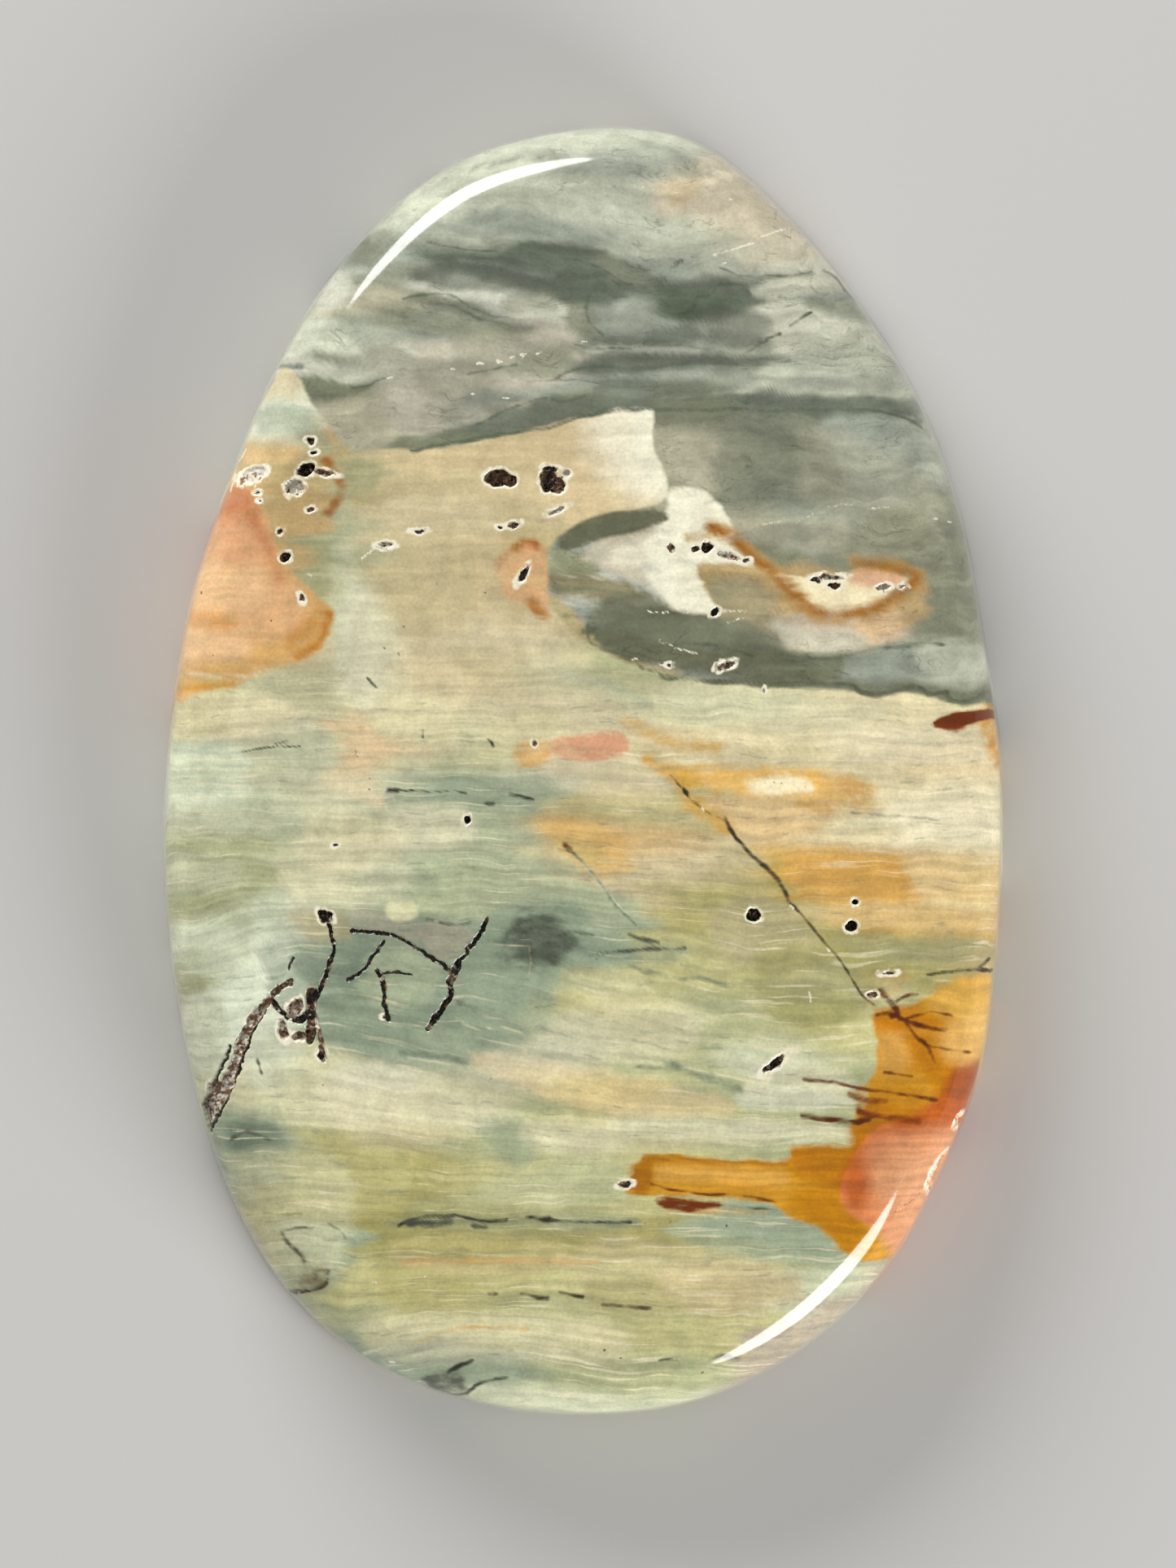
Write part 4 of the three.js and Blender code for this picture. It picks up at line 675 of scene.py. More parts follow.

# Manganese and iron lines, dendrites and clouds, the chert's dark banding, and a painted shade inside a
# shallow dished chip
DARK: tuple[Patch | Streak, ...] = (
    Streak(Tint.SLATE, (-11.7, 15.6, -10.8, 15.6), 0.14, 0.1, 0.7),
    Streak(Tint.SLATE_DEEP, (-6.6, 12.3, -3, 12.95, -1.5, 13.15, 0, 13.6, 1.5, 13.9, 2.6,
        13.85), 0.12, 0.08, 0.9),
    Streak(Tint.SLATE_DEEP, (2.6, 13.85, 10.5, 13.85, 12, 13.7, 13, 13.3), 0.1, 0.07, 0.85),
    Streak(Tint.SLATE, (3.2, 14.2, 5, 14.35, 7, 14.3), 0.1, 0.09, 0.7),
    Streak(Tint.SLATE_DEEP, (-6.2, 20.3, -4.4, 20, -2.4, 19.9, -0.7, 19.7, 0.6, 19.3, 1.5,
        18.8), 0.05, 0.06, 0.6),
    Streak(Tint.SLATE_DEEP, (-6.9, 18.2, -6, 18.35, -5.1, 18.3, -4.3, 17.8, -3.4, 17.45, -2.2,
        17.4), 0.06, 0.06, 0.7),
    Streak(Tint.SLATE_DEEP, (-6.2, 17.95, -5, 17.9, -4, 17.4, -3.1, 17.2), 0.07, 0.07, 0.6),
    Streak(Tint.SLATE_DEEP, (-4.4, 15.25, -2.2, 15.6, -1, 15.5), 0.05, 0.06, 0.6),
    Streak(Tint.SLATE_DEEP, (-8.9, 14.75, -8.2, 14.85, -7.6, 15.1), 0.06, 0.05, 0.7),
    Streak(Tint.SLATE_DEEP, (-4.2, 13.2, -3.2, 13.75, -2.2, 14.1, -1.4, 14.3, -0.7, 14.15, 0.1,
        14.4), 0.07, 0.06, 0.7),
    Streak(Tint.SLATE_DEEP, (0.5, 19.1, 0.2, 18.2, 0.25, 17.3, 0.8, 16.7), 0.07, 0.08, 0.5),
    Streak(Tint.SLATE_DEEP, (-0.3, 16.35, 0.8, 16.2, 3.6, 16.35, 4.9, 16.2), 0.06, 0.06, 0.65),
    Streak(Tint.SLATE_DEEP, (-1, 15.1, 0.2, 15.55, 2.2, 15.4, 4.4, 15.7, 6.6, 15.6, 8,
        15.7), 0.09, 0.07, 0.8),
    Streak(Tint.INK, (3.5, 17.5, 4.2, 17.7, 4.4, 18.2, 4.9, 18.3, 5.2, 18.7, 6.3, 18.7), 0.08, 0.08, 0.5),
    Streak(Tint.SLATE_DEEP, (5.2, 19.4, 6, 19.1, 7.7, 19, 8.8, 19.2), 0.06, 0.06, 0.6),
    Streak(Tint.SLATE_DEEP, (5.6, 18.2, 7.1, 17.8, 8.3, 17.9), 0.05, 0.05, 0.6),
    Streak(Tint.SLATE_DEEP, (-2.2, 14.9, -0.2, 15, 1.4, 14.7, 3.4, 14.8), 0.05, 0.05, 0.5),
    Streak(Tint.SLATE_DEEP, (6.2, 16.05, 7.2, 16.65), 0.07, 0.05, 0.8),
    Streak(Tint.INK, (7.05, 16.6, 7.55, 16.8), 0.14, 0.05, 0.9),
    Streak(Tint.INK, (8, 17.1, 8.8, 17.6), 0.09, 0.05, 0.85),
    Patch(Tint.INK, (3.3, 19.3, 3.7, 19.45, 3.95, 19.75, 3.55, 19.6), 0.07, 0.9),
    Streak(Tint.SLATE_DEEP, (8.85, 19.15, 8.75, 18.75, 9, 18.4), 0.06, 0.06, 0.7),
    # painted shade: the dark inner side of the same dished chip, beside its painted highlight
    Streak(Tint.SLATE_DEEP, (9.3, 19.3, 9.8, 19, 10.15, 18.5, 10.55, 18.2), 0.1, 0.06, 0.8),
    Patch(Tint.LENS_GREEN, (-0.9, 8.8, 0, 9.4, 0.9, 9.7, 2, 9.85, 3, 9.9, 3.2, 9.6, 2.4, 9.4, 1.6, 9.1, 0.9,
        9, 0.5, 8.8, -1, 8.4), 0.1, 0.95),
    Streak(Tint.MOSS, (6.8, 4, 8.5, 3.95, 10, 4.1), 0.12, 0.1, 0.7),
    Streak(Tint.SLATE_DEEP, (0.2, 5.7, 0.25, 5, 0.9, 4.6, 1.8, 4.4, 2.3, 3.9, 3.4, 3.65), 0.08, 0.06, 0.7),
    Streak(Tint.SLATE_DEEP, (1.2, 4.9, 2.6, 4.75, 4.2, 4.9, 5.6, 4.75), 0.07, 0.07, 0.5),
    Streak(Tint.SLATE_DEEP, (6.2, 4.8, 8.4, 4.3, 9.8, 4.35, 11, 4.7, 12.6, 4.8), 0.06, 0.06, 0.6),
    Streak(Tint.MOSS, (-1.1, 7.05, 0.2, 6.95, 1.4, 6.75, 2.2, 6.5), 0.1, 0.1, 0.6),
    Streak(Tint.MOSS, (-0.9, 5.95, 0.2, 5.9, 1, 5.7), 0.08, 0.08, 0.6),
    Streak(Tint.LICHEN, (-1.3, 8, 0.5, 7.8), 0.08, 0.08, 0.6),
    Streak(Tint.LENS_GREEN, (3, 3.6, 7, 3.25, 10, 3.35, 10.6, 3, 11.5, 2.9, 12.7, 3.2, 13.3, 2.9, 13.9, 3,
        14.3, 2.55, 15.9, 3.1), 0.14, 0.08, 0.9),
    Patch(Tint.CHESTNUT, (13.4, 1.75, 14, 2.1, 15.2, 2.35, 16.1, 2.3, 16.2, 2, 15.3, 1.9, 14.3, 1.6), 0.06),
    Patch(Tint.CHESTNUT, (2.7, -16.5, 3.3, -16.9, 4.2, -16.95, 5.4, -16.7, 4, -16.4), 0.08, 0.95),
    Streak(Tint.LIVER, (2.6, -15.95, 4.4, -16.25, 6.2, -16.35, 7.4, -16.6), 0.09, 0.06, 0.8),
    Streak(Tint.LIVER, (8.5, -11.85, 10, -12.1), 0.14, 0.06, 0.9),
    Streak(Tint.LIVER, (10, -12.1, 13.6, -12.7), 0.1, 0.06, 0.8),
    Streak(Tint.CHESTNUT, (10.2, -12.45, 11, -12.65, 11.6, -12.7), 0.18, 0.08, 0.8),
    Streak(Tint.LIVER, (8.4, -13.3, 10.2, -13.5, 11, -13.4), 0.2, 0.06, 0.95),
    Streak(Tint.LIVER, (11.6, -11.6, 12.6, -11.75), 0.1, 0.06, 0.8),
    Streak(Tint.CHESTNUT, (10.6, -13.1, 11.4, -13.3, 12.9, -13.5), 0.2, 0.1, 0.8),
    Streak(Tint.LIVER, (11.3, -9.4, 11.9, -9.3, 12.4, -9.6, 13.2, -9.85, 14, -9.95), 0.15, 0.06, 0.85),
    Streak(Tint.LIVER, (12.4, -9.6, 12.8, -10.2, 13.3, -10.6, 13.6, -11.3), 0.12, 0.06, 0.8),
    Streak(Tint.LIVER, (12.2, -9.6, 13.4, -9.3, 14.2, -9.5), 0.1, 0.05, 0.8),
    Streak(Tint.LIVER, (13.5, -10.6, 14.9, -10.85), 0.1, 0.05, 0.8),
    Streak(Tint.LIVER, (11.4, -8.5, 12.1, -9.2, 11.9, -9.4), 0.24, 0.08, 0.9),
    Streak(Tint.LIVER, (11.9, -9, 12.4, -8.7, 12.9, -8.65), 0.1, 0.05, 0.8),
    Streak(Tint.SEAL, (3.3, -0.15, 4.55, -1.45, 5.5, -2), 0.06, 0.05, 0.6),
    Streak(Tint.SEAL, (5.4, -1.85, 5.8, -2.5, 6.5, -3.3), 0.14, 0.06, 0.9),
    Streak(Tint.SEAL, (6.6, -3.35, 7.1, -3.8, 7.6, -4.45, 7.9, -5), 0.16, 0.06, 0.9),
    Streak(Tint.SEAL, (8, -5.1, 8.9, -6.1, 9.5, -6.9), 0.1, 0.05, 0.85),
    Streak(Tint.SEAL, (9.5, -6.9, 10.2, -7.7, 10.7, -8.6, 11.2, -9), 0.09, 0.05, 0.85),
    Streak(Tint.SOOT, (3.9, -0.75, 4, -0.88), 0.2, 0.05),
    Streak(Tint.LIVER, (-0.7, -2.85, -0.5, -3), 0.2, 0.06, 0.8),
    Streak(Tint.TEAL, (-0.5, -3, 0, -3.5, 1.3, -5.2, 2.1, -6), 0.07, 0.05, 0.6),
    Streak(Tint.INK, (-13.1, 0.75, -12.4, 0.85, -10.9, 0.9), 0.07, 0.04, 0.85),
    Streak(Tint.INK, (-11.9, 1, -11.4, 1.1), 0.06, 0.04, 0.7),
    Streak(Tint.INK, (-10.3, 0.8, -9.8, 0.8), 0.07, 0.04, 0.7),
    Streak(Tint.SOOT, (-7.5, -0.8, -7.1, -0.8), 0.2, 0.06, 0.9),
    Streak(Tint.SOOT, (-7.1, -0.8, -5.2, -0.82, -4.5, -0.9), 0.09, 0.05, 0.85),
    Streak(Tint.SOOT, (-3.75, -1.25, -3.45, -1.25), 0.14, 0.05, 0.9),
    Streak(Tint.SOOT, (-2.8, -0.95, -1.9, -1.15), 0.1, 0.05, 0.8),
    Streak(Tint.INK, (-8.3, 3.55, -7.9, 3.15), 0.1, 0.04, 0.8),
    Streak(Tint.INK, (-6.15, 1.55, -6.13, 1.25), 0.08, 0.04, 0.8),
    Streak(Tint.INK, (-3.8, 1.25, -3.6, 1.1, -3.5, 0.9), 0.08, 0.04, 0.8),
    Streak(Tint.INK, (-6, -5.75, -5.2, -5.9, -4.4, -5.85), 0.1, 0.05, 0.8),
    Patch(Tint.INK, (-2.4, -6.2, -1.9, -5.9, -1.2, -6.2, -0.8, -6.7, -1.5, -6.9, -2.2, -6.8), 0.4, 0.55),
    Streak(Tint.SOOT, (-2.6, -6.5, -2.2, -6.1, -1.8, -6, -1.3, -6.3), 0.07, 0.06, 0.8),
    Streak(Tint.SOOT, (-1.6, -6.7, -1.1, -6.6, -0.6, -7), 0.08, 0.06, 0.8),
    Streak(Tint.INK, (-0.9, -6.3, -0.2, -6.2, 0.4, -6.3), 0.14, 0.07, 0.9),
    Streak(Tint.INK, (1.8, -6.3, 2.4, -6.55, 2.9, -6.6), 0.14, 0.06, 0.9),
    Streak(Tint.INK, (0.2, -7.1, 1.2, -6.9, 3.9, -6.85), 0.11, 0.06, 0.85),
    Streak(Tint.TEAL, (1.8, -7.5, 3, -7.9, 4.5, -8, 5.8, -8.3), 0.14, 0.1, 0.6),
    Streak(Tint.SOOT, (13.2, -7.9, 15, -7.7, 15.9, -7.75), 0.12, 0.05, 0.9),
    Streak(Tint.SOOT, (15.2, -7.65, 15.7, -7.25), 0.1, 0.05, 0.8),
    Streak(Tint.TEAL, (-7, -10.9, -5.8, -11, -4.5, -11.2), 0.16, 0.14, 0.6),
    Streak(Tint.TEAL, (3.2, -11.3, 4.6, -11.7, 6, -12.2), 0.18, 0.16, 0.6),
    Streak(Tint.INK, (-12.5, -11.1, -12.3, -11.6), 0.08, 0.05, 0.7),
    Streak(Tint.INK, (-13.6, -14.3, -13, -13.9, -12, -14.2), 0.12, 0.08, 0.8),
    Streak(Tint.SOOT, (-7.1, -17.5, -6.5, -17.2, -5, -17.1, -4, -17.3, -3, -17.25), 0.13, 0.05, 0.9),
    Streak(Tint.INK, (-6.6, -17.35, -5.9, -17.45, -5.2, -17.35), 0.35, 0.12, 0.8),
    Streak(Tint.INK, (-4.2, -17.55, -3.8, -17.6), 0.2, 0.1, 0.7),
    Streak(Tint.SOOT, (-2.1, -17.2, -1.7, -17.25, -1.3, -17.2), 0.22, 0.07, 0.9),
    Streak(Tint.SOOT, (-1.3, -17.25, 1.8, -17.4), 0.09, 0.05, 0.8),
    Streak(Tint.INK, (6.3, -16.8, 7.5, -16.9), 0.08, 0.05, 0.7),
    Streak(Tint.SEAL, (-3.6, -20.1, -3.3, -20.1), 0.1, 0.06, 0.6),
    Streak(Tint.SEAL, (-2.4, -20.15, -1.4, -20.3), 0.14, 0.06, 0.7),
    Streak(Tint.SEAL, (-0.9, -20.1, 0, -20.2), 0.12, 0.05, 0.7),
    Streak(Tint.SEAL, (0.8, -20.5, 2.6, -20.7), 0.12, 0.05, 0.6),
    Patch(Tint.UMBER, (-10.9, -19.3, -10.4, -19, -9.9, -19.4, -10.2, -19.9, -10.9, -19.9), 0.15, 0.5),
    Streak(Tint.SEAL, (-11.5, -17.7, -11, -17.6, -10.4, -17.6), 0.08, 0.05, 0.6),
    Streak(Tint.SEAL, (-11.6, -17.8, -11.3, -18.3, -10.9, -18.6, -10.3, -19.5), 0.16, 0.07, 0.7),
    Streak(Tint.SEAL, (-9.8, -19.3, -9.85, -19.7, -10.1, -19.95, -10.6, -20.1, -11.4,
        -20.1), 0.14, 0.07, 0.85),
    Streak(Tint.DRAB, (-13, -17.15, -12, -17.05, -10.8, -17.1), 0.07, 0.05, 0.7),
    Streak(Tint.TEAL, (-9.8, -17.4, -9.4, -17.7, -9.2, -18), 0.08, 0.07, 0.7),
    Streak(Tint.SOOT, (-6, -23.6, -5.4, -23.5, -5.1, -23.1, -4.3, -22.7), 0.16, 0.06, 0.9),
    Streak(Tint.SOOT, (-5.9, -23.8, -5.2, -24.1, -4.5, -24, -4, -23.6, -3.2, -23.4, -2.4,
        -23.4), 0.14, 0.06, 0.9),
    Patch(Tint.INK, (-6.2, -23.5, -5.4, -23.2, -4.7, -23.4, -4.6, -24, -5.4, -24.3), 0.2, 0.8),
    Streak(Tint.INK, (4.9, -22.7, 5.4, -22.55, 6, -22.6), 0.2, 0.1, 0.85),
    Streak(Tint.INK, (2.9, -22.7, 3.4, -22.65, 3.9, -22.7), 0.1, 0.06, 0.8),
    Streak(Tint.TEAL, (10.3, -1.6, 13.7, -1.95), 0.08, 0.06, 0.6),
    Patch(Tint.SLATE_DEEP, (-3.1, -6.9, -2.9, -6, -2, -5.6, -0.8, -5.8, -0.3, -6.4, -1.2, -7.3, -2.4,
        -7.5), 0.4, 0.55),
    Streak(Tint.INK, (-3, -6.8, -3, -6.35, -2.6, -5.95, -2, -5.7), 0.11, 0.1, 0.8),
    Streak(Tint.INK, (-2.3, -6.1, -2, -6.6, -1.95, -7.3), 0.09, 0.09, 0.75),
    Streak(Tint.INK, (-1.9, -6.25, -1.2, -6.3, -0.3, -6.25), 0.08, 0.09, 0.7),
    Streak(Tint.INK, (0.5, -7.2, 1.2, -6.95, 2.4, -6.87, 3, -6.9), 0.09, 0.07, 0.75),
    Streak(Tint.INK, (2, -6.42, 2.4, -6.47, 2.9, -6.58), 0.09, 0.06, 0.85),
    Streak(Tint.MOSS, (1.85, -7.54, 3.2, -7.84, 3.9, -8, 5, -8.08), 0.06, 0.07, 0.7),
    Streak(Tint.MOSS, (2, -11.35, 3.4, -11.5, 5, -11.6), 0.06, 0.07, 0.6),
    Streak(Tint.INK, (-1.8, -9.05, -1.05, -9), 0.07, 0.06, 0.6),
    Streak(Tint.INK, (-4.8, -8.9, -4.2, -9.2), 0.12, 0.1, 0.5),
    Streak(Tint.INK, (5, 4.65, 5.8, 4.7, 6.6, 4.3, 8, 4.1, 9.2, 4.3, 10.4, 4.3), 0.06, 0.06, 0.6),
    Streak(Tint.INK, (10.4, 4.3, 11.2, 4.5, 12.2, 4.9, 13.2, 4.9, 14, 4.8), 0.06, 0.06, 0.55),
    Streak(Tint.INK, (7.2, 3.9, 8.6, 3.65, 9.6, 3.9, 10.3, 3.65), 0.05, 0.06, 0.55),
    Streak(Tint.INK, (5, 3.5, 7.6, 3.4, 10.1, 3.35, 10.6, 3.05, 11.8, 3.05, 12.7, 3.15), 0.05, 0.05, 0.7),
    Streak(Tint.INK, (12.9, 3.2, 13.5, 2.95, 14, 3.05, 14.2, 2.7, 14.7, 2.7, 15.5, 3.05, 16, 2.95), 0.06,
        0.05, 0.75),
)

# Single dark grains: x and y in turn
GRAINS: Route = (
    -8.8, 0.75, -8.7, 0.55, -8.25, -0.3, -8.25, -0.7, -5.6, 7.2, -3.8, 6.85, -7.6, 4.7, -7.1, 4.45,
    -6.9, 5.5, 0.6, 12.15, 4.85, 11.8, 6.98, 3.06, -13.4, 7.8, -14.7, 6.9, -12, 5.8, -14.2, 4.4,
    -13.3, 4.1, -3.52, -11.85, -10, -12.1, 2.3, -17.4, 3.3, -17.35, 5.5, -17.5, 0.8, -22.3, 1.4, -22.6,
    2.2, -22.4, 2.4, -23.2, 4.6, -23.2, 7.0, -0.45, 7.3, -0.45, 7.6, -0.5, 7.2, -0.65, 8.55, -0.62,
)

# White quartz flecks: start and end of each
FLECKS: tuple[Route, ...] = (
    (-7.45, 15.1, -7.3, 15.15), (-5.05, 15.4, -4.9, 15.4), (-4.05, 15.7, -3.95, 15.72),
    (-3.25, 15.65, -3.1, 15.66), (-2.75, 15.8, -2.6, 15.85), (-2.35, 15.95, -2.2, 16.0),
    (-1.8, 16.05, -1.6, 16.1), (-0.1, 16.45, 0.1, 16.5), (-3.1, 14.3, -2.7, 14.35),
    (-4.25, 14.45, -4.15, 14.45), (-11.05, 14.1, -10.95, 14.1), (2.2, 22.35, 2.4, 22.4),
    (3.4, 22.2, 3.6, 22.2), (5, 22, 5.2, 22), (5.6, 22, 5.75, 21.95), (6.3, 21.8, 6.45, 21.7),
    (5, 19.8, 5.8, 20.0, 6.6, 20.3), (6.8, 20.5, 7.3, 20.75, 7.8, 20.9), (5.35, 19.5, 5.5, 19.52),
    (6.8, 9.4, 7.7, 9.55), (8.2, 9.5, 8.9, 9.9), (9.4, 10.15, 9.9, 10.22, 10.4, 10.2),
    (11, 10.1, 11.8, 10.1), (13.15, 10, 13.3, 10), (13.5, 9.7, 13.65, 9.68), (14.05, 9.6, 14.2, 9.55),
    (2.4, 6.1, 3.3, 6.1), (4, 6.05, 4.3, 6.05), (5.6, 6.15, 6.3, 6.15), (5.5, 5.7, 6.2, 5.9),
    (2.9, 5, 3.6, 4.7, 4.4, 4.5), (2.8, 4.05, 3.4, 4.05), (1.9, 4.25, 2.1, 4.25),
    (-6.1, -19.45, -6.0, -19.45), (-8.1, -19.65, -7.95, -19.65), (-7.5, -22.85, -7.3, -22.85),
    (-8.5, 8.1, -8.0, 8.5), (-10.55, 9.5, -10.45, 9.5), (-10.55, 7.55, -10.45, 7.5),
    (4.5, -1.35, 4.62, -1.55), (8.65, -8.5, 8.75, -8.9), (1.1, 8.4, 1.6, 8.5, 2.1, 8.5),
    (-13.55, 11.2, -13.3, 11.9, -12.95, 12.4), (-13.35, 10.95, -13.2, 11.5), (-13.6, 10.8, -13.4, 11.4),
    (-12.4, 11.5, -12.1, 11.75), (-13.0, 11.0, -12.9, 11.5), (-12.7, 10.9, -12.5, 11.1),
    (7.95, -5.15, 8.1, -5.3), (9.35, -6.85, 9.5, -7.0), (-3.3, 15.75, -3.15, 15.7),
    (-2.4, 16.0, -2.3, 15.85), (-4.1, 15.65, -3.85, 15.65),
)

# Crystal-lined hollows
VUGS: tuple[Vug, ...] = (
    Vug(-3.3, 11.24, 0.52, 0.36, 0.5, 0, Lining.BROWN),
    Vug(-2.9, 11.16, 0.34, 0.24, 0.45, 10, Lining.BROWN),
    Vug(-1.35, 11.2, 0.34, 0.5, 0.5, -10, Lining.BROWN),
    Vug(-1.0, 11.0, 0.36, 0.34, 0.5, 30, Lining.BROWN), Vug(-1.3, 11.6, 0.3, 0.16, 0.3),
    Vug(-0.65, 11.41, 0.2, 0.16, 0.2, 0, Lining.DRUSE),
    Vug(-1.02, 9.96, 0.38, 0.11, 0.16, 25, Lining.DRUSE), Vug(-3.14, 9.33, 0.13, 0.09, 0.12),
    Vug(-2.63, 9.43, 0.26, 0.12, 0.15, 20, Lining.BROWN), Vug(-2.32, 7.53, 0.4, 0.15, 0.25, 60),
    Vug(-7.6, 8.65, 0.35, 0.13, 0.15, 0, Lining.GREY), Vug(-6.3, 9.2, 0.26, 0.08, 0.1),
    Vug(-10.48, 12.7, 0.2, 0.16, 0.3, 15), Vug(-10.36, 12.23, 0.14, 0.1, 0.15),
    Vug(-10.67, 11.57, 0.38, 0.27, 0.6, 30), Vug(-10.0, 11.45, 0.45, 0.12, 0.25, -10, Lining.GREY),
    Vug(-11.1, 10.9, 0.4, 0.32, 0.3, 10, Lining.DRUSE), Vug(-11.35, 10.85, 0.12, 0.26, 0.25),
    Vug(-11.0, 10.7, 0.14, 0.1, 0.15), Vug(-11.65, 9.2, 0.12, 0.11, 0.12),
    Vug(-11.45, 8.2, 0.25, 0.22, 0.35, 0, Lining.BROWN),
    Vug(-10.85, 6.65, 0.2, 0.12, 0.2, 110, Lining.BROWN),
    Vug(-10.45, 10.05, 0.16, 0.12, 0.12, 0, Lining.GREY),
    Vug(-12.7, 11.4, 0.6, 0.28, 0.12, 20, Lining.DRUSE),
    Vug(-13.15, 11.2, 0.12, 0.2, 0.1, 0, Lining.GREY), Vug(-12.55, 10.7, 0.12, 0.08, 0.1),
    Vug(-12.45, 10.35, 0.1, 0.08, 0.1), Vug(4.74, 8.58, 0.27, 0.24, 0.45),
    Vug(4.3, 8.48, 0.15, 0.15, 0.2, 0, Lining.BROWN), Vug(3.36, 8.54, 0.15, 0.18, 0.15, 0, Lining.BROWN),
    Vug(5.56, 8.26, 0.48, 0.17, 0.2, -20, Lining.GREY),
    Vug(6.26, 8.07, 0.18, 0.09, 0.1, 0, Lining.BROWN), Vug(9.66, 7.09, 0.28, 0.15, 0.3, 0, Lining.BROWN),
    Vug(8.91, 7.35, 0.19, 0.13, 0.2), Vug(9.51, 7.44, 0.52, 0.12, 0.2, 0, Lining.GREY),
    Vug(11.55, 7.03, 0.28, 0.15, 0.2, 15, Lining.DRUSE),
    Vug(12.3, 7.1, 0.16, 0.09, 0.12, 0, Lining.DRUSE), Vug(5.06, 6.08, 0.21, 0.14, 0.25, 25),
    Vug(5.47, 4.04, 0.38, 0.17, 0.22, 20, Lining.GREY), Vug(3.29, 4.04, 0.12, 0.08, 0.1),
    Vug(6.98, 3.06, 0.08, 0.08, 0.1), Vug(6.57, -5.55, 0.3, 0.27, 0.45, -10),
    Vug(10.32, -6.02, 0.27, 0.24, 0.45), Vug(10.45, -5.08, 0.15, 0.14, 0.2),
    Vug(11.74, -7.79, 0.26, 0.09, 0.12, 5, Lining.GREY),
    Vug(11.14, -8.61, 0.22, 0.18, 0.2, 0, Lining.GREY), Vug(7.33, -11.29, 0.56, 0.17, 0.4, 40),
    Vug(-4.46, -1.89, 0.19, 0.14, 0.3, 70), Vug(-9.54, -2.87, 0.1, 0.08, 0.1),
    Vug(-1.88, 1.04, 0.1, 0.09, 0.1), Vug(1.62, -15.9, 0.28, 0.13, 0.15, 10, Lining.BROWN),
    Vug(-9.9, -5.6, 0.36, 0.24, 0.3, -35, Lining.BROWN),
    Vug(-14.2, -12.3, 0.42, 0.28, 0.3, 60, Lining.GREY),
    Vug(-11.1, -9.2, 0.5, 0.28, 0.3, 60, Lining.GREY),
    Vug(-11.55, -10.0, 0.45, 0.22, 0.25, 100, Lining.GREY),
    Vug(-10.95, -10.2, 0.3, 0.2, 0.3, 0, Lining.GREY), Vug(-10.05, -10.9, 0.24, 0.2, 0.3, 70),
    Vug(14.55, -13.5, 0.28, 0.14, 0.2, 60, Lining.DRUSE),
    Vug(13.8, -15.5, 0.85, 0.36, 0.22, 62, Lining.DRUSE),
    Vug(-7.6, -9.45, 0.16, 0.12, 0.15, 0, Lining.BROWN),
)

# Root-like seams and the ragged fissure
GROOVES: tuple[Groove, ...] = (
    Groove((-14.9, -14.2, -14.3, -12.9, -13.75, -12.2), 0.6, 0.25, Lining.GREY),
    Groove((-13.9, -12.4, -13.4, -11.2, -13.1, -10.3, -12.5, -9.3), 0.42, 0.2, Lining.GREY),
    Groove((-12.5, -9.3, -11.77, -8.42, -11.33, -8.17), 0.34, 0.25, Lining.GREY),
    Groove((-15.1, -13.9, -14.6, -12.8, -14.0, -11.6, -13.6, -10.6), 0.14, 0.2),
    Groove((-14.4, -13.9, -13.7, -12.6, -13.2, -11.4, -12.7, -10.1, -12.2, -9.2), 0.14, 0.2),
    Groove((-10.42, -8.55, -10.46, -9.3, -10.5, -10.3), 0.4, 0.2, Lining.GREY),
    Groove((-10.3, -9.5, -10.1, -10.3, -9.95, -11.1), 0.24, 0.2, Lining.GREY),
    Groove((-10.3, -8.8, -10.1, -8.42, -9.75, -7.5, -9.6, -6.75, -9.79, -5.93), 0.16, 0.14),
    Groove((-11.9, -8.9, -11.4, -9.5, -10.9, -9.6, -10.5, -9.2), 0.2, 0.2, Lining.BROWN),
    Groove((-11.14, -7.19, -11.33, -7.6), 0.12, 0.12),
    Groove((-10.42, -8.55, -10.46, -9.3, -10.5, -10.3), 0.42, 0.3, Lining.BROWN),
    Groove((-10.3, -9.5, -10.1, -10.3, -9.95, -11.1), 0.24, 0.25, Lining.BROWN),
    Groove((-10.3, -8.8, -10.1, -8.42, -9.75, -7.5, -9.6, -6.75, -9.79, -5.93), 0.2, 0.18),
    Groove((-11.9, -8.9, -11.4, -9.5, -10.9, -9.6, -10.5, -9.2), 0.24, 0.25),
    Groove((-8.91, -6.15, -8.1, -6.2, -7.27, -6.34, -6.3, -6.85, -5.7, -7.3, -5.09, -7.6), 0.17, 0.16),
    Groove((-7.61, -6.56, -8.1, -7.2, -8.55, -7.75, -9.06, -8.07), 0.15, 0.14),
    Groove((-3.7, -5.74, -4.1, -6.5, -4.74, -7.28, -5.22, -8.13), 0.2, 0.2),
    Groove((-4.74, -7.3, -5.1, -8.2, -5.15, -8.73, -5.94, -9.9), 0.27, 0.24),
    Groove((-7.87, -7.72, -7.65, -8.3, -7.62, -9.0, -7.46, -9.58), 0.2, 0.18),
    Groove((-7.74, -7.79, -7.2, -7.72, -6.6, -7.85), 0.13, 0.1),
    Groove((-15.2, -14.3, -14.9, -13.9, -14.5, -13.9), 0.16, 0.2),
    Groove((12.0, -17.0, 12.5, -16.7, 13.0, -16.3), 0.07, 0.06, Lining.BROWN),
    Groove((-11.9, -20.0, -11.2, -20.15, -10.5, -20.05), 0.08, 0.05, Lining.BROWN),
)


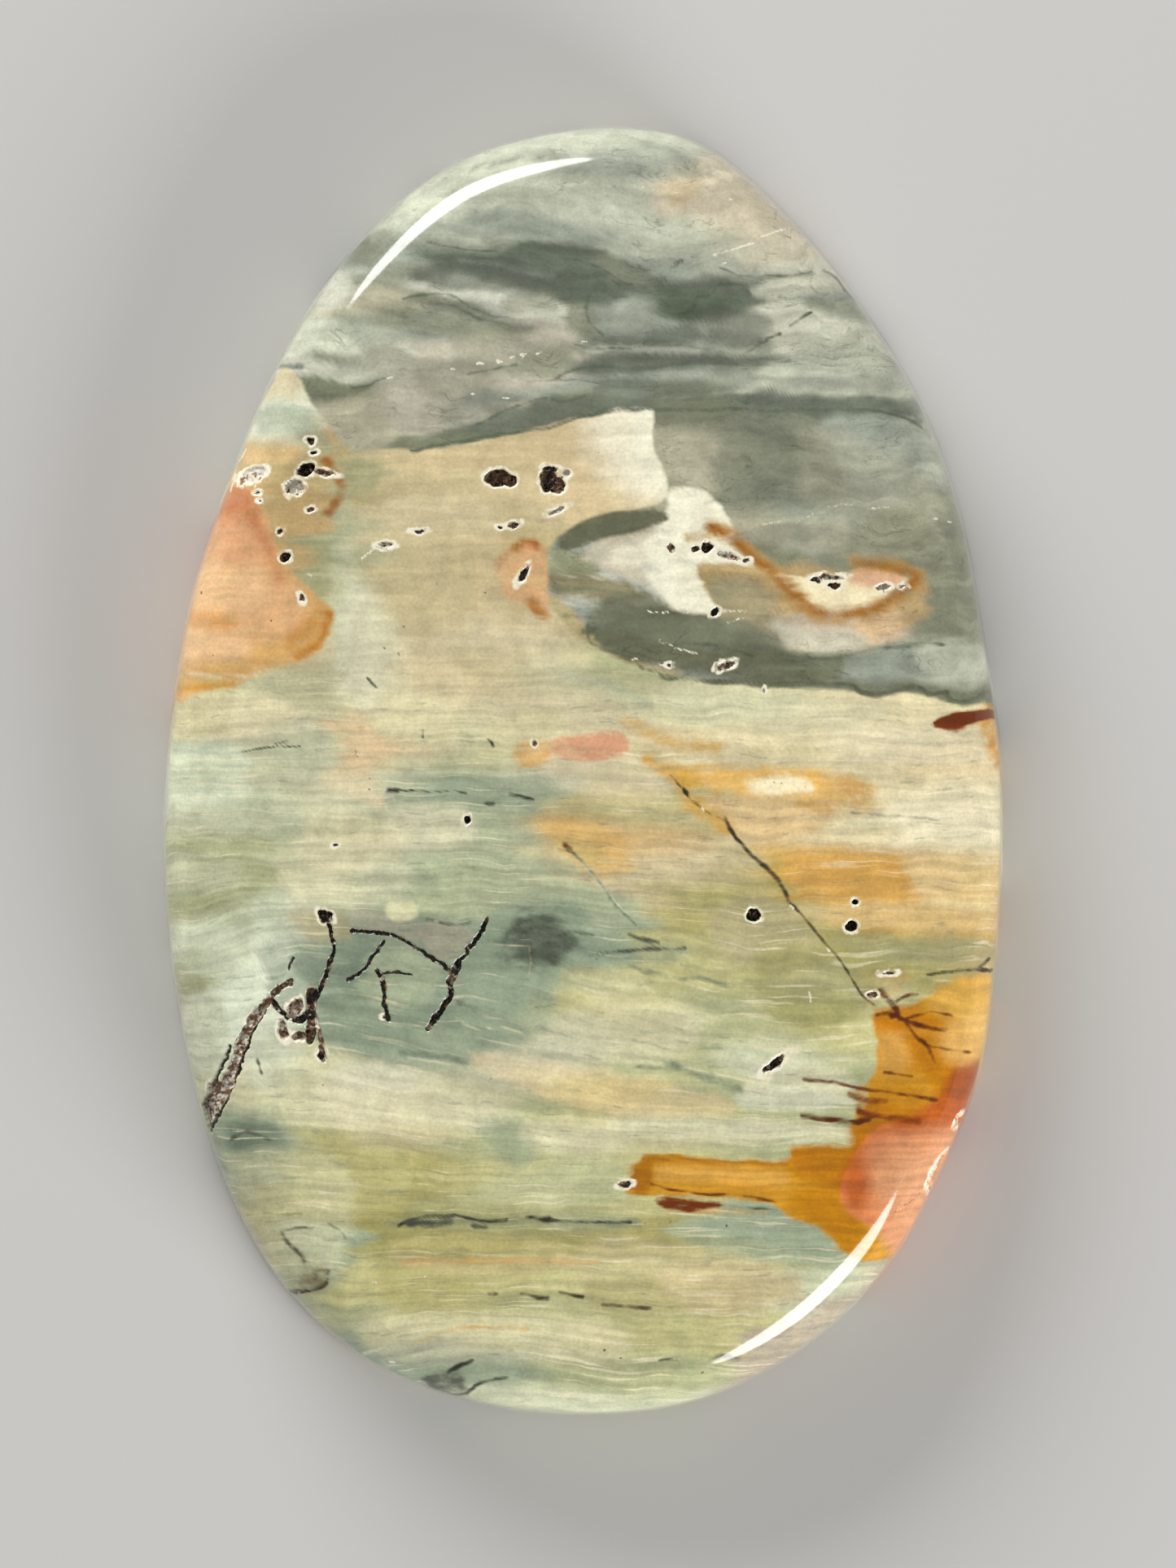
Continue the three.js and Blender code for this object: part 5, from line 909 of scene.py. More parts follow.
def soft_step(low: float, high: float, value: np.ndarray) -> np.ndarray:
    """Rises smoothly from 0 at low to 1 at high.

    Args:
        low: where the rise starts.
        high: where it ends.
        value: the numbers to grade.

    Returns:
        The grades.
    """
    t = np.clip((value - low) / (high - low), 0, 1)
    return t * t * (3 - 2 * t)


def corners_of(route: Route) -> np.ndarray:
    """The corners of a route, n x 2."""
    return np.array(route, float).reshape(-1, 2)


def route_distance(places: np.ndarray, corners: np.ndarray, closed: bool) -> np.ndarray:
    """Distance from each place to a route.

    Args:
        places: n x 2 places.
        corners: the route's corners.
        closed: whether its last corner joins its first.

    Returns:
        The n distances, negative outside and positive inside where the route is closed.
    """
    best = np.full(len(places), np.inf)
    inside = np.zeros(len(places), bool)
    ends = np.roll(corners, -1, 0) if closed else corners[1:]
    for start, end in zip(corners, ends):
        span = end - start
        share = np.clip((places - start) @ span / max(span @ span, TINY), 0, 1)
        off = places - start - share[:, None] * span
        np.minimum(best, (off**2).sum(1), out=best)
        crosses = (start[1] > places[:, 1]) != (end[1] > places[:, 1])
        rise = span[1] if span[1] else TINY
        inside ^= crosses & (places[:, 0] < start[0] + (places[:, 1] - start[1]) * span[0] / rise)
    far = np.sqrt(best)
    return np.where(inside, far, -far) if closed else far


def rounded(corners: np.ndarray, closed: bool, cuts: int = 3) -> np.ndarray:
    """A smooth route through the corners.

    Args:
        corners: n x 2.
        closed: whether the last joins the first.
        cuts: how many stretches each side becomes.

    Returns:
        The finer corners.
    """
    if len(corners) < 3:
        return corners
    if closed:
        before, after, beyond = (np.roll(corners, shift, 0) for shift in (1, -1, -2))
        start = corners
    else:
        padded = np.vstack([corners[:1], corners, corners[-1:]])
        before, start, after, beyond = padded[:-3], padded[1:-2], padded[2:-1], padded[3:]
    t = np.linspace(0, 1, cuts, endpoint=False)[:, None, None]
    fine = 0.5 * (2 * start + (after - before) * t + (2 * before - 5 * start + 4 * after - beyond) * t**2
                  + (3 * start - before - 3 * after + beyond) * t**3)
    fine = fine.transpose(1, 0, 2).reshape(-1, 2)
    return fine if closed else np.vstack([fine, corners[-1:]])


def oval_reach(places: np.ndarray, shape: Blot | Vug | Fold, turn: float = 0.0) -> np.ndarray:
    """How far out of an oval each place is: 0 in its middle and 1 on its rim.

    Args:
        places: n x 2 places.
        shape: the oval.
        turn: its turn in degrees.

    Returns:
        The n shares.
    """
    angle = math.radians(turn)
    dx, dy = places[:, 0] - shape.x, places[:, 1] - shape.y
    along = dx * math.cos(angle) + dy * math.sin(angle)
    across = dy * math.cos(angle) - dx * math.sin(angle)
    return np.hypot(along / shape.long, across / shape.wide)


@dataclass(frozen=True)
class StoneForm:
    """The stone's body: outline, chamfered back, upright edge, rounded shoulder and domed crown."""

    length: float = 50.0
    width: float = 32.6
    thickness: float = 6.0
    back_bevel: float = 0.5
    edge_top: float = 2.1
    edge_draft: float = 0.15
    shoulder_reach: float = 2.8
    shoulder_turn: float = 83.0
    crown_rise: float = 1.15
    blend_end: float = 3.8  # inset at which the dome has taken over from the shoulder
    curve_cuts: int = 40  # stretches between two corners of the outline
    reading_points: int = 400  # points of the ring that insets are read from
    outline: Route = (
        16.15, 1.5, 15.55, 5.35, 14.65, 10.1, 13.2, 14.1, 10.85, 18.0, 7.85, 21.65,
        4.7, 24.3, 1.7, 25, -2.1, 24.6, -5.55, 23.3, -9.1, 20.1, -11.7, 16.1,
        -13.75, 11.3, -15.2, 6.85, -16.0, 2.1, -16.3, -2.6, -16.0, -7.35, -15.1, -12.25,
        -13.75, -16.35, -11.6, -20.05, -8.35, -22.9, -4.3, -24.5, 0, -25, 4.45, -24.45,
        8.5, -22.45, 11.9, -19.15, 14.0, -15.3, 15.45, -11.5, 16.1, -6.7, 16.3, -2.0,
    )

    @property
    def shoulder_rise(self) -> float:
        """Height of the shoulder's full quarter turn."""
        return (self.rim_height - self.edge_top) / math.sin(math.radians(self.shoulder_turn))

    @property
    def rim_height(self) -> float:
        """Height where the shoulder meets the crown."""
        return self.thickness - self.crown_rise

    def shoulder_ring(self, share: float) -> tuple[float, float]:
        """One level of the shoulder.

        Args:
            share: 0 at the upright edge and 1 at the crown.

        Returns:
            Its inset from the outline and its height.
        """
        angle = math.radians(self.shoulder_turn) * share
        inset = self.edge_draft + self.shoulder_reach * (1 - math.cos(angle))
        return inset, self.edge_top + self.shoulder_rise * math.sin(angle)

    def ring(self, count: int, inset: float = 0.0) -> np.ndarray:
        """Even points of the outline, anticlockwise, moved inwards square to itself.

        Args:
            count: how many points.
            inset: how far in.

        Returns:
            The points, count x 2.
        """
        knots = corners_of(self.outline)
        before, after, beyond = (np.roll(knots, shift, 0) for shift in (1, -1, -2))
        gaps = [np.sqrt(np.linalg.norm(b - a, axis=1))[:, None]
                for a, b in ((before, knots), (knots, after), (after, beyond))]
        leave = ((knots - before) / gaps[0] - (after - before) / (gaps[0] + gaps[1])
                 + (after - knots) / gaps[1]) * gaps[1]
        arrive = ((after - knots) / gaps[1] - (beyond - knots) / (gaps[1] + gaps[2])
                  + (beyond - after) / gaps[2]) * gaps[1]
        t = np.linspace(0, 1, self.curve_cuts, endpoint=False)[:, None, None]
        dense = ((2 * t**3 - 3 * t**2 + 1) * knots + (t**3 - 2 * t**2 + t) * leave
                 + (3 * t**2 - 2 * t**3) * after + (t**3 - t**2) * arrive)
        dense = dense.transpose(1, 0, 2).reshape(-1, 2)
        loop = np.vstack([dense, dense[:1]])
        run = np.concatenate([[0], np.cumsum(np.linalg.norm(np.diff(loop, axis=0), axis=1))])
        stops = np.linspace(0, run[-1], count, endpoint=False)
        points = np.stack([np.interp(stops, run, loop[:, axis]) for axis in (0, 1)], axis=1)
        low, high = points.min(0), points.max(0)
        points = (points - (low + high) / 2) * np.array([self.width, self.length]) / (high - low)
        along = np.roll(points, -1, 0) - np.roll(points, 1, 0)
        along /= np.linalg.norm(along, axis=1)[:, None]
        return points + np.stack([-along[:, 1], along[:, 0]], axis=1) * inset

    def crown_height(self, places: np.ndarray) -> np.ndarray:
        """Height of the polished face over places inside the shoulder.

        Args:
            places: n x 2 places.

        Returns:
            The n heights.
        """
        inset = route_distance(places, self.ring(self.reading_points), closed=True)
        rim_inset, rim_height = self.shoulder_ring(1.0)
        turned = math.radians(self.shoulder_turn)
        slope = self.shoulder_rise / (self.shoulder_reach * math.tan(turned))
        shoulder = rim_height + slope * (inset - rim_inset)
        rim = self.ring(self.reading_points, rim_inset)
        bearing = np.arctan2(rim[:, 1], rim[:, 0])
        radius = np.interp(np.arctan2(places[:, 1], places[:, 0]), bearing,
                           np.linalg.norm(rim, axis=1), period=2 * math.pi)
        share = np.linalg.norm(places, axis=1) / radius
        crown = rim_height + self.crown_rise * (1 - share**2)
        weight = soft_step(rim_inset, self.blend_end, inset)
        return shoulder * (1 - weight) + crown * weight


class MeshBench:
    """One mesh object, shaped in edit mode as by hand."""

    def __init__(self, name: str, points: np.ndarray, height: float) -> None:
        """Starts the mesh as a circle laid on a ring of points.

        Args:
            name: the piece's name.
            points: the ring, n x 2.
            height: its height.
        """
        bpy.ops.object.select_all(action="DESELECT")
        bpy.ops.mesh.primitive_circle_add(vertices=len(points), radius=MM)
        self.piece = bpy.context.active_object
        self.piece.name = self.piece.data.name = name
        self.order = np.arange(len(points))
        bpy.ops.object.mode_set(mode="EDIT")
        bpy.ops.mesh.select_mode(type="EDGE")
        self._lay(points, height)

    def places(self) -> np.ndarray:
        """The corners' places, n x 3."""
        return self._read("co", 3) / MM

    def normals(self) -> np.ndarray:
        """The corners' outward directions, n x 3."""
        return self._read("normal", 3)

    def _read(self, name: str, width: int) -> np.ndarray:
        """Reads one property of every corner.

        Args:
            name: the property.
            width: how many numbers each corner has.

        Returns:
            The numbers, n x width.
        """
        vertices = self.piece.data.vertices
        flat = np.empty(len(vertices) * width, np.float32)
        vertices.foreach_get(name, flat)
        return flat.reshape(-1, width).astype(float)

    def set_places(self, places: np.ndarray) -> None:
        """Moves the corners to the places, n x 3."""
        self.piece.data.vertices.foreach_set("co", (places * MM).astype(np.float32).ravel())
        self.piece.data.update()

    def _lay(self, points: np.ndarray, height: float) -> None:
        """Moves the newest ring of corners onto the points.

        Args:
            points: the ring, n x 2.
            height: its height.
        """
        bpy.ops.object.mode_set(mode="OBJECT")
        places = self.places()
        places[-len(points):, :2] = points[self.order]
        places[-len(points):, 2] = height
        self.set_places(places)
        bpy.ops.object.mode_set(mode="EDIT")

    def add_ring(self, points: np.ndarray, height: float) -> None:
        """Extrudes the selected ring and lays the new one on its points.

        Args:
            points: the new ring, n x 2.
            height: its height.
        """
        bpy.ops.mesh.extrude_region_move(TRANSFORM_OT_translate={"value": (0, 0, MM)})
        self._lay(points, height)

    def double_ring(self, points: np.ndarray, height: float) -> None:
        """Halves the edges of the selected ring and lays it on twice as many points.

        Args:
            points: the ring's new points, n x 2.
            height: its height.
        """
        count = len(points) // 2
        self.order = np.concatenate([np.arange(0, 2 * count, 2)[self.order], np.arange(1, 2 * count, 2)])
        bpy.ops.mesh.subdivide(number_cuts=1, ngon=False)
        bpy.ops.object.mode_set(mode="OBJECT")
        places = self.places()
        fresh = places[-count:, :2]
        odd = points[1::2]
        nearest = ((fresh[:, None] - odd[None]) ** 2).sum(2).argmin(1)
        self.order[count:] = 2 * nearest + 1
        places[-2 * count:, :2] = points[self.order]
        places[-2 * count:, 2] = height
        self.set_places(places)
        bpy.ops.object.mode_set(mode="EDIT")

    def fill(self, span: int, offset: int) -> None:
        """Closes the selected ring with a grid of faces.

        Args:
            span: how many columns it has.
            offset: how far its corners are shifted round the ring.
        """
        bpy.ops.mesh.fill_grid(span=span, offset=offset)

    def split_faces(self, chosen: np.ndarray) -> None:
        """Divides in four each face that has a chosen corner.

        Args:
            chosen: n truths, one for each corner.
        """
        mesh = self.piece.data
        corners = np.empty(len(mesh.loops), np.int32)
        mesh.loops.foreach_get("vertex_index", corners)
        starts = np.empty(len(mesh.polygons), np.int32)
        mesh.polygons.foreach_get("loop_start", starts)
        bpy.ops.object.mode_set(mode="EDIT")
        bpy.ops.mesh.select_mode(type="FACE")
        bpy.ops.mesh.select_all(action="DESELECT")
        bpy.ops.object.mode_set(mode="OBJECT")
        mesh.polygons.foreach_set("select", np.logical_or.reduceat(chosen[corners], starts))
        bpy.ops.object.mode_set(mode="EDIT")
        bpy.ops.mesh.subdivide(number_cuts=1, ngon=False)
        bpy.ops.object.mode_set(mode="OBJECT")

    def finish(self) -> None:
        """Turns every face outwards and shades the piece smooth."""
        bpy.ops.object.mode_set(mode="EDIT")
        bpy.ops.mesh.select_all(action="SELECT")
        bpy.ops.mesh.normals_make_consistent(inside=False)
        bpy.ops.object.mode_set(mode="OBJECT")
        bpy.ops.object.shade_smooth()

    def write(self, name: str, kind: str, values: np.ndarray) -> None:
        """Keeps numbers on the corners for the material to read.

        Args:
            name: the attribute's name.
            kind: FLOAT, FLOAT_VECTOR or FLOAT_COLOR.
            values: one row for each corner.
        """
        slot = {"FLOAT": "value", "FLOAT_VECTOR": "vector", "FLOAT_COLOR": "color"}[kind]
        layer = self.piece.data.attributes.new(name, kind, "POINT")
        layer.data.foreach_set(slot, values.astype(np.float32).ravel())


@dataclass
class SurfaceReading:
    """What the pattern and the hollows are worked out from: every corner of the stone."""

    places: np.ndarray
    pattern_drift: tuple[float, float] = (0.4, 0.7)  # how the bands lean with depth, mm across per mm down
    drift_from: float = 2.3
    wander: tuple[tuple[float, float], ...] = ((1.3, 0.08), (0.45, 0.03), (0.2, 0.012))  # length, reach

    def __post_init__(self) -> None:
        """Works out where each corner falls in the pattern."""
        self.flat = self.places[:, :2]
        depth = np.maximum(self.drift_from - self.places[:, 2], 0)[:, None]
        self.drawn = self.flat + depth * np.array(self.pattern_drift)
        for length, reach in self.wander:
            waves = [noise.noise_vector(Vector(place) / length)[:2] for place in self.places]
            self.drawn = self.drawn + reach * np.array(waves)
        self.on_face = self.places[:, 2] > self.drift_from


def shape_level(drawn: np.ndarray, shape: Patch | Streak) -> np.ndarray:
    """How far inside a painted shape each place is, in half widths of its soft edge.

    Args:
        drawn: n x 2 places.
        shape: the patch or streak.

    Returns:
        n levels: negative outside, 0 on the edge and positive inside, none past FULL_LEVEL.
    """
    closed = isinstance(shape, Patch)
    corners = corners_of(shape.route)
    half_width = 0.0 if closed else shape.width / 2
    margin = half_width + 3 * shape.soft + NEAR_BY
    low, high = corners.min(0) - margin, corners.max(0) + margin
    near = ((drawn > low) & (drawn < high)).all(1)
    level = np.full(len(drawn), -FULL_LEVEL)
    if near.any():
        inside = route_distance(drawn[near], rounded(corners, closed), closed)
        inside = inside if closed else half_width - inside
        level[near] = np.maximum(inside / shape.soft, -FULL_LEVEL)
    return np.minimum(level, FULL_LEVEL)


def strength_cap(strength: float) -> float:
    """The level at which a soft edge reaches a strength: from -1 to 1, or FULL_LEVEL at full strength."""
    if strength >= 1:
        return FULL_LEVEL
    grade = np.linspace(-1, 1, 401)
    return float(np.interp(strength, soft_step(-1, 1, grade), grade))


@dataclass(frozen=True)
class Wave:
    """A soft noise: its lengths along x and y, the layer it's read from and its share."""

    along: float
    across: float
    layer: float
    share: float

    def read(self, x: float, y: float) -> Vector:
        """The noise at one place.

        Args:
            x: the place's x.
            y: the place's y.

        Returns:
            The noise, a number for each axis.
        """
        return noise.noise_vector((x / self.along, y / self.across, self.layer)) * self.share


class PatternPainter:
    """Works out the stone's colours at every corner of its mesh, from the named shapes above."""

    finger_reach = (1.8, 0.3)
    swirl_reach = (1.2, 0.45)
    fray_reach = (0.4, 0.12)
    wash_slip = 0.12
    wash_crispness = 1.6
    finest_edge = 0.13
    fleck_margin = 1.0
    blot_falloff = 1.3
    blot_tail = 0.02
    covering = (-1.6, 0.6)  # levels between which a shape comes to cover those below it
    untouched = -3.0        # level under which no earlier shape is felt

    def __init__(self, reading: SurfaceReading) -> None:
        """Takes the corners.

        Args:
            reading: the corners and where each falls in the pattern.
        """
        self.drawn = reading.drawn

    def fingered(self, height: np.ndarray) -> np.ndarray:
        """How far each corner's reading of the wood's ground slips, in fingers along the bedding.

        Args:
            height: each corner's height across the bedding.

        Returns:
            n x 2 slips.
        """
        read = noise.noise
        slips = [(read((x * 0.09, level * 1.3, 3.0)) + 0.5 * read((x * 0.25, level * 3.2, 5.0)),
                  read((x * 0.25, level * 1.6, 9.0)) + 0.4 * read((x * 0.9, level * 2.6, 1.0)))
                 for x, level in zip(self.drawn[:, 0], height)]
        return np.array(slips) * np.array(self.finger_reach)

    def waved(self, broad: Wave, fine: Wave, reach: tuple[float, float]) -> np.ndarray:
        """How far each corner's reading slips by two waves together.

        Args:
            broad: the broader wave.
            fine: the finer wave.
            reach: how far a full wave moves a reading, along x and y.

        Returns:
            n x 2 slips.
        """
        slips = [broad.read(x, y) + fine.read(x, y) for x, y in self.drawn]
        return np.array(slips)[:, :2] * np.array(reach)

    def swirled(self) -> np.ndarray:
        """How far each corner's reading of the chert's ground slips, as soft mud flows."""
        return self.waved(Wave(3.0, 1.5, 2.0, 0.6), Wave(1.1, 0.45, 6.0, 0.3), self.swirl_reach)

    def frayed(self) -> np.ndarray:
        """How far each corner's reading of the washes slips, to fray their edges along the layers."""
        return self.waved(Wave(0.9, 0.28, 4.0, 1.0), Wave(0.4, 0.14, 8.0, 0.5), self.fray_reach)

    def ground(self, slips: np.ndarray, blots: tuple[Blot, ...],
               washes: tuple[Patch | Streak, ...]) -> np.ndarray:
        """Blends soft ovals of colour into one ground and lays soft washes over it.

        Args:
            slips: how far each corner's reading slips.
            blots: the ovals.
            washes: the washes, in painting order.

        Returns:
            n x 3 linear colours.
        """
        places = self.drawn + slips
        total = np.zeros((len(places), 3))
        weights = np.full(len(places), TINY)
        for blot in blots:
            reach = oval_reach(places, blot, blot.turn)
            weight = np.exp(-self.blot_falloff * reach**2) + self.blot_tail / (1 + reach**2) ** 3
            total += weight[:, None] * blot.tint.linear
            weights += weight
        colour = total / weights[:, None]
        places = self.drawn + slips * self.wash_slip + self.frayed()
        for wash in washes:
            level = shape_level(places, wash) * min(self.wash_crispness, wash.soft / self.finest_edge)
            cover = (wash.strength * soft_step(-1.0, 1.0, level))[:, None]
            colour = colour * (1 - cover) + wash.tint.linear * cover
        return colour

    def area(self, patch: Patch, tints: np.ndarray) -> np.ndarray:
        """One large area with a ground of its own.

        Args:
            patch: its outline.
            tints: n x 3 colours inside it.

        Returns:
            n x 4 rows of colour and level.
        """
        corners = rounded(corners_of(patch.route), closed=True, cuts=2)
        level = route_distance(self.drawn, corners, closed=True) / patch.soft
        return np.column_stack([tints, np.clip(level, -FULL_LEVEL, FULL_LEVEL)])

    def overlay(self, shapes: tuple[Patch | Streak, ...]) -> np.ndarray:
        """Patches and streaks in painting order, the later ones over the earlier.

        Args:
            shapes: the shapes.

        Returns:
            n x 4 rows of colour and level.
        """
        colour = np.zeros((len(self.drawn), 3))
        best = np.full(len(self.drawn), -FULL_LEVEL)
        for shape in shapes:
            inside = shape_level(self.drawn, shape)
            cover = (shape.strength * soft_step(*self.covering, inside))[:, None]
            mixed = colour * (1 - cover) + shape.tint.linear * cover
            fresh = (best <= self.untouched) & (inside > -FULL_LEVEL)
            colour = np.where(fresh[:, None], shape.tint.linear, mixed)
            best = np.maximum(best, np.minimum(inside, strength_cap(shape.strength)))
        return np.column_stack([colour, best])

    def bedding(self, folds: tuple[Fold, ...], steps: tuple[Step, ...]) -> np.ndarray:
        """Height of each corner across the bedding planes.

        Args:
            folds: the arches.
            steps: the drops.

        Returns:
            The n heights.
        """
        x, y = self.drawn.T
        height = y.copy()
        for fold in folds:
            height -= fold.rise * np.exp(-oval_reach(self.drawn, fold) ** 2)
        for step in steps:
            share = soft_step(step.x - step.run, step.x + step.run, x)
            height -= step.rise * share * np.exp(-((y - step.y) / step.reach) ** 2)
        return height

    def dots(self, points: Route, radius: float) -> np.ndarray:
        """Level of small round grains.

        Args:
            points: their middles.
            radius: their radius.

        Returns:
            The n levels in millimetres, positive inside a grain.
        """
        level = np.full(len(self.drawn), FAR_OFF)
        for middle in corners_of(points):
            level = np.maximum(level, radius - np.linalg.norm(self.drawn - middle, axis=1))
        return level

    def flecks(self, routes: tuple[Route, ...], width: float) -> np.ndarray:
        """Level of short white flecks.

        Args:
            routes: the run of each.
            width: their width.

        Returns:
            The n levels in millimetres.
        """
        level = np.full(len(self.drawn), FAR_OFF)
        for route in routes:
            corners = corners_of(route)
            low, high = corners.min(0) - self.fleck_margin, corners.max(0) + self.fleck_margin
            near = ((self.drawn > low) & (self.drawn < high)).all(1)
            if near.any():
                away = route_distance(self.drawn[near], corners, closed=False)
                level[near] = np.maximum(level[near], width / 2 - away)
        return level


class HollowCarver:
    """Works out the vugs and seams: how far inside one each corner is, its depth and its lining."""

    # how strongly the rims of vugs and of seams take the painted highlight
    vug_rim_highlight = 1.0
    groove_rim_highlight = 0.0
    groove_margin = 1.5          # corners further than this from a seam aren't measured
    broad_wobble = (0.34, 0.09)  # length and reach of the waves in a hollow's outline
    fine_wobble = (0.13, 0.045)
    wall = (-0.01, 0.07)         # from the lip in to where a hollow has its depth
    crystal_length = 0.11
    floor_depth = 0.85           # share of the depth that the floor lies at
    floor_relief = 0.45          # how far crystals stand from it

    def __init__(self, reading: SurfaceReading) -> None:
        """Takes the corners.

        Args:
            reading: the corners.
        """
        (broad, broad_reach), (fine, fine_reach) = self.broad_wobble, self.fine_wobble
        wobble = [broad_reach * noise.noise_vector(Vector(place) / broad)
                  + fine_reach * noise.noise_vector(Vector(place) / fine) for place in reading.places]
        self.flat = reading.flat + np.array(wobble)[:, :2]
        self.on_face = reading.on_face
        self.level = np.full(len(self.flat), FAR_OFF)
        self.depth = np.zeros(len(self.flat))
        self.lining = np.zeros(len(self.flat))
        # how strongly each corner's hollow rim takes the painted highlight
        self.lip = np.zeros(len(self.flat))

    def carve(self, vugs: tuple[Vug, ...], grooves: tuple[Groove, ...]) -> None:
        """Adds the hollows.

        Args:
            vugs: the ovals.
            grooves: the seams.
        """
        for vug in vugs:
            reach = oval_reach(self.flat, vug, vug.turn)
            self._add((1 - reach) * min(vug.long, vug.wide), vug.depth, vug.lining, self.vug_rim_highlight)
        for groove in grooves:
            corners = rounded(corners_of(groove.route), closed=False)
            low, high = corners.min(0) - self.groove_margin, corners.max(0) + self.groove_margin
            near = ((self.flat > low) & (self.flat < high)).all(1)
            level = np.full(len(self.flat), FAR_OFF)
            if near.any():
                level[near] = groove.width / 2 - route_distance(self.flat[near], corners, closed=False)
            self._add(level, groove.depth, groove.lining, self.groove_rim_highlight)

    def _add(self, level: np.ndarray, depth: float, lining: Lining, lip: float) -> None:
        """Joins one hollow to the others.

        Args:
            level: how far inside it each corner is.
            depth: its depth.
            lining: what lines it.
            lip: how strongly its rim takes the painted highlight.
        """
        level = np.where(self.on_face, np.clip(level, FAR_OFF, -FAR_OFF), FAR_OFF)
        wins = level > self.level
        self.level = np.where(wins, level, self.level)
        self.depth = np.where(wins, depth, self.depth)
        self.lining = np.where(wins, lining.value, self.lining)
        self.lip = np.where(wins, lip, self.lip)

    def sinking(self, places: np.ndarray) -> np.ndarray:
        """How far each corner sinks below the polished face.

        Args:
            places: the corners, n x 3.

        Returns:
            The n depths.
        """
        floor = soft_step(*self.wall, self.level)
        rough = np.array([noise.noise(Vector(place) / self.crystal_length) if inside > 0 else 0.0
                          for place, inside in zip(places, self.level)])
        return self.depth * floor * (self.floor_depth + self.floor_relief * rough)


class NodeSheet:
    """Adds nodes to one tree with short calls."""

    def __init__(self, tree: bpy.types.NodeTree) -> None:
        """Takes the tree and empties it.

        Args:
            tree: the node tree.
        """
        self.tree = tree
        tree.nodes.clear()

    def add(self, kind: str, **settings: object) -> bpy.types.Node:
        """Adds a node and sets its properties.

        Args:
            kind: the node's type.
            settings: its properties.

        Returns:
            The node.
        """
        node = self.tree.nodes.new(kind)
        for name, value in settings.items():
            setattr(node, name, value)
        return node

    def feed(self, socket: Socket, value: object) -> None:
        """Links a socket, or sets its value.

        Args:
            socket: the input.
            value: another socket, or a plain value.
        """
        if isinstance(value, Socket):
            self.tree.links.new(value, socket)
        else:
            socket.default_value = value

    def math(self, operation: str, *values: object) -> Socket:
        """One step of arithmetic.

        Args:
            operation: the Math node's operation.
            values: its inputs.

        Returns:
            The result.
        """
        node = self.add("ShaderNodeMath", operation=operation)
        for socket, value in zip(node.inputs, values):
            self.feed(socket, value)
        return node.outputs[0]

    def grade(self, value: object, low: object, high: object,
              to_low: object = 0.0, to_high: object = 1.0) -> Socket:
        """Grades a number smoothly from one range to another.

        Args:
            value: the number.
            low: start of its range.
            high: end of its range.
            to_low: the result at the start.
            to_high: the result at the end.

        Returns:
            The grade.
        """
        node = self.add("ShaderNodeMapRange", interpolation_type="SMOOTHSTEP")
        for socket, number in zip(node.inputs, (value, low, high, to_low, to_high)):
            self.feed(socket, number)
        return node.outputs[0]

    def mix(self, share: object, first: object, second: object) -> Socket:
        """Mixes two colours.

        Args:
            share: how much of the second.
            first: a colour.
            second: a colour.

        Returns:
            The mixed colour.
        """
        node = self.add("ShaderNodeMix", data_type="RGBA")
        self.feed(node.inputs[0], share)
        self.feed(node.inputs[6], first)
        self.feed(node.inputs[7], second)
        return node.outputs[2]

    def noise(self, place: Socket, scale: float, detail: float = 2.0, distortion: float = 0.0) -> Socket:
        """Soft noise between 0 and 1.

        Args:
            place: where it is read.
            scale: how fine it is.
            detail: how many octaves.
            distortion: how much it swirls.

        Returns:
            The noise.
        """
        node = self.add("ShaderNodeTexNoise")
        settings = {"Vector": place, "Scale": scale, "Detail": detail, "Distortion": distortion}
        for name, value in settings.items():
            self.feed(node.inputs[name], value)
        return node.outputs[0]

    def centred(self, place: Socket, scale: float, detail: float = 2.0, distortion: float = 0.0) -> Socket:
        """The same noise moved to lie round 0.

        Args:
            place: where it is read.
            scale: how fine it is.
            detail: how many octaves.
            distortion: how much it swirls.

        Returns:
            The noise, from -0.5 to 0.5.
        """
        return self.math("SUBTRACT", self.noise(place, scale, detail, distortion), 0.5)

    def apart(self, value: Socket) -> bpy.types.NodeOutputs:
        """Takes a vector apart into its three numbers."""
        node = self.add("ShaderNodeSeparateXYZ")
        self.feed(node.inputs[0], value)
        return node.outputs

    def drawn_out(self, place: bpy.types.NodeOutputs, level: Socket, along: float, across: float) -> Socket:
        """Places drawn out along the bedding.

        Args:
            place: the object coordinates, taken apart.
            level: the height across the bedding, in millimetres.
            along: how fine the places are along the layers, per millimetre.
            across: how fine across them, per millimetre.

        Returns:
            The places.
        """
        join = self.add("ShaderNodeCombineXYZ")
        self.feed(join.inputs[0], self.math("MULTIPLY", place[0], along / MM))
        self.feed(join.inputs[1], self.math("MULTIPLY", level, across))
        self.feed(join.inputs[2], self.math("MULTIPLY", place[2], along / MM))
        return join.outputs[0]

    def attribute(self, name: str, output: str) -> Socket:
        """Reads what the mesh keeps on its corners.

        Args:
            name: the attribute.
            output: which output of the node.

        Returns:
            The output.
        """
        return self.add("ShaderNodeAttribute", attribute_name=name).outputs[output]


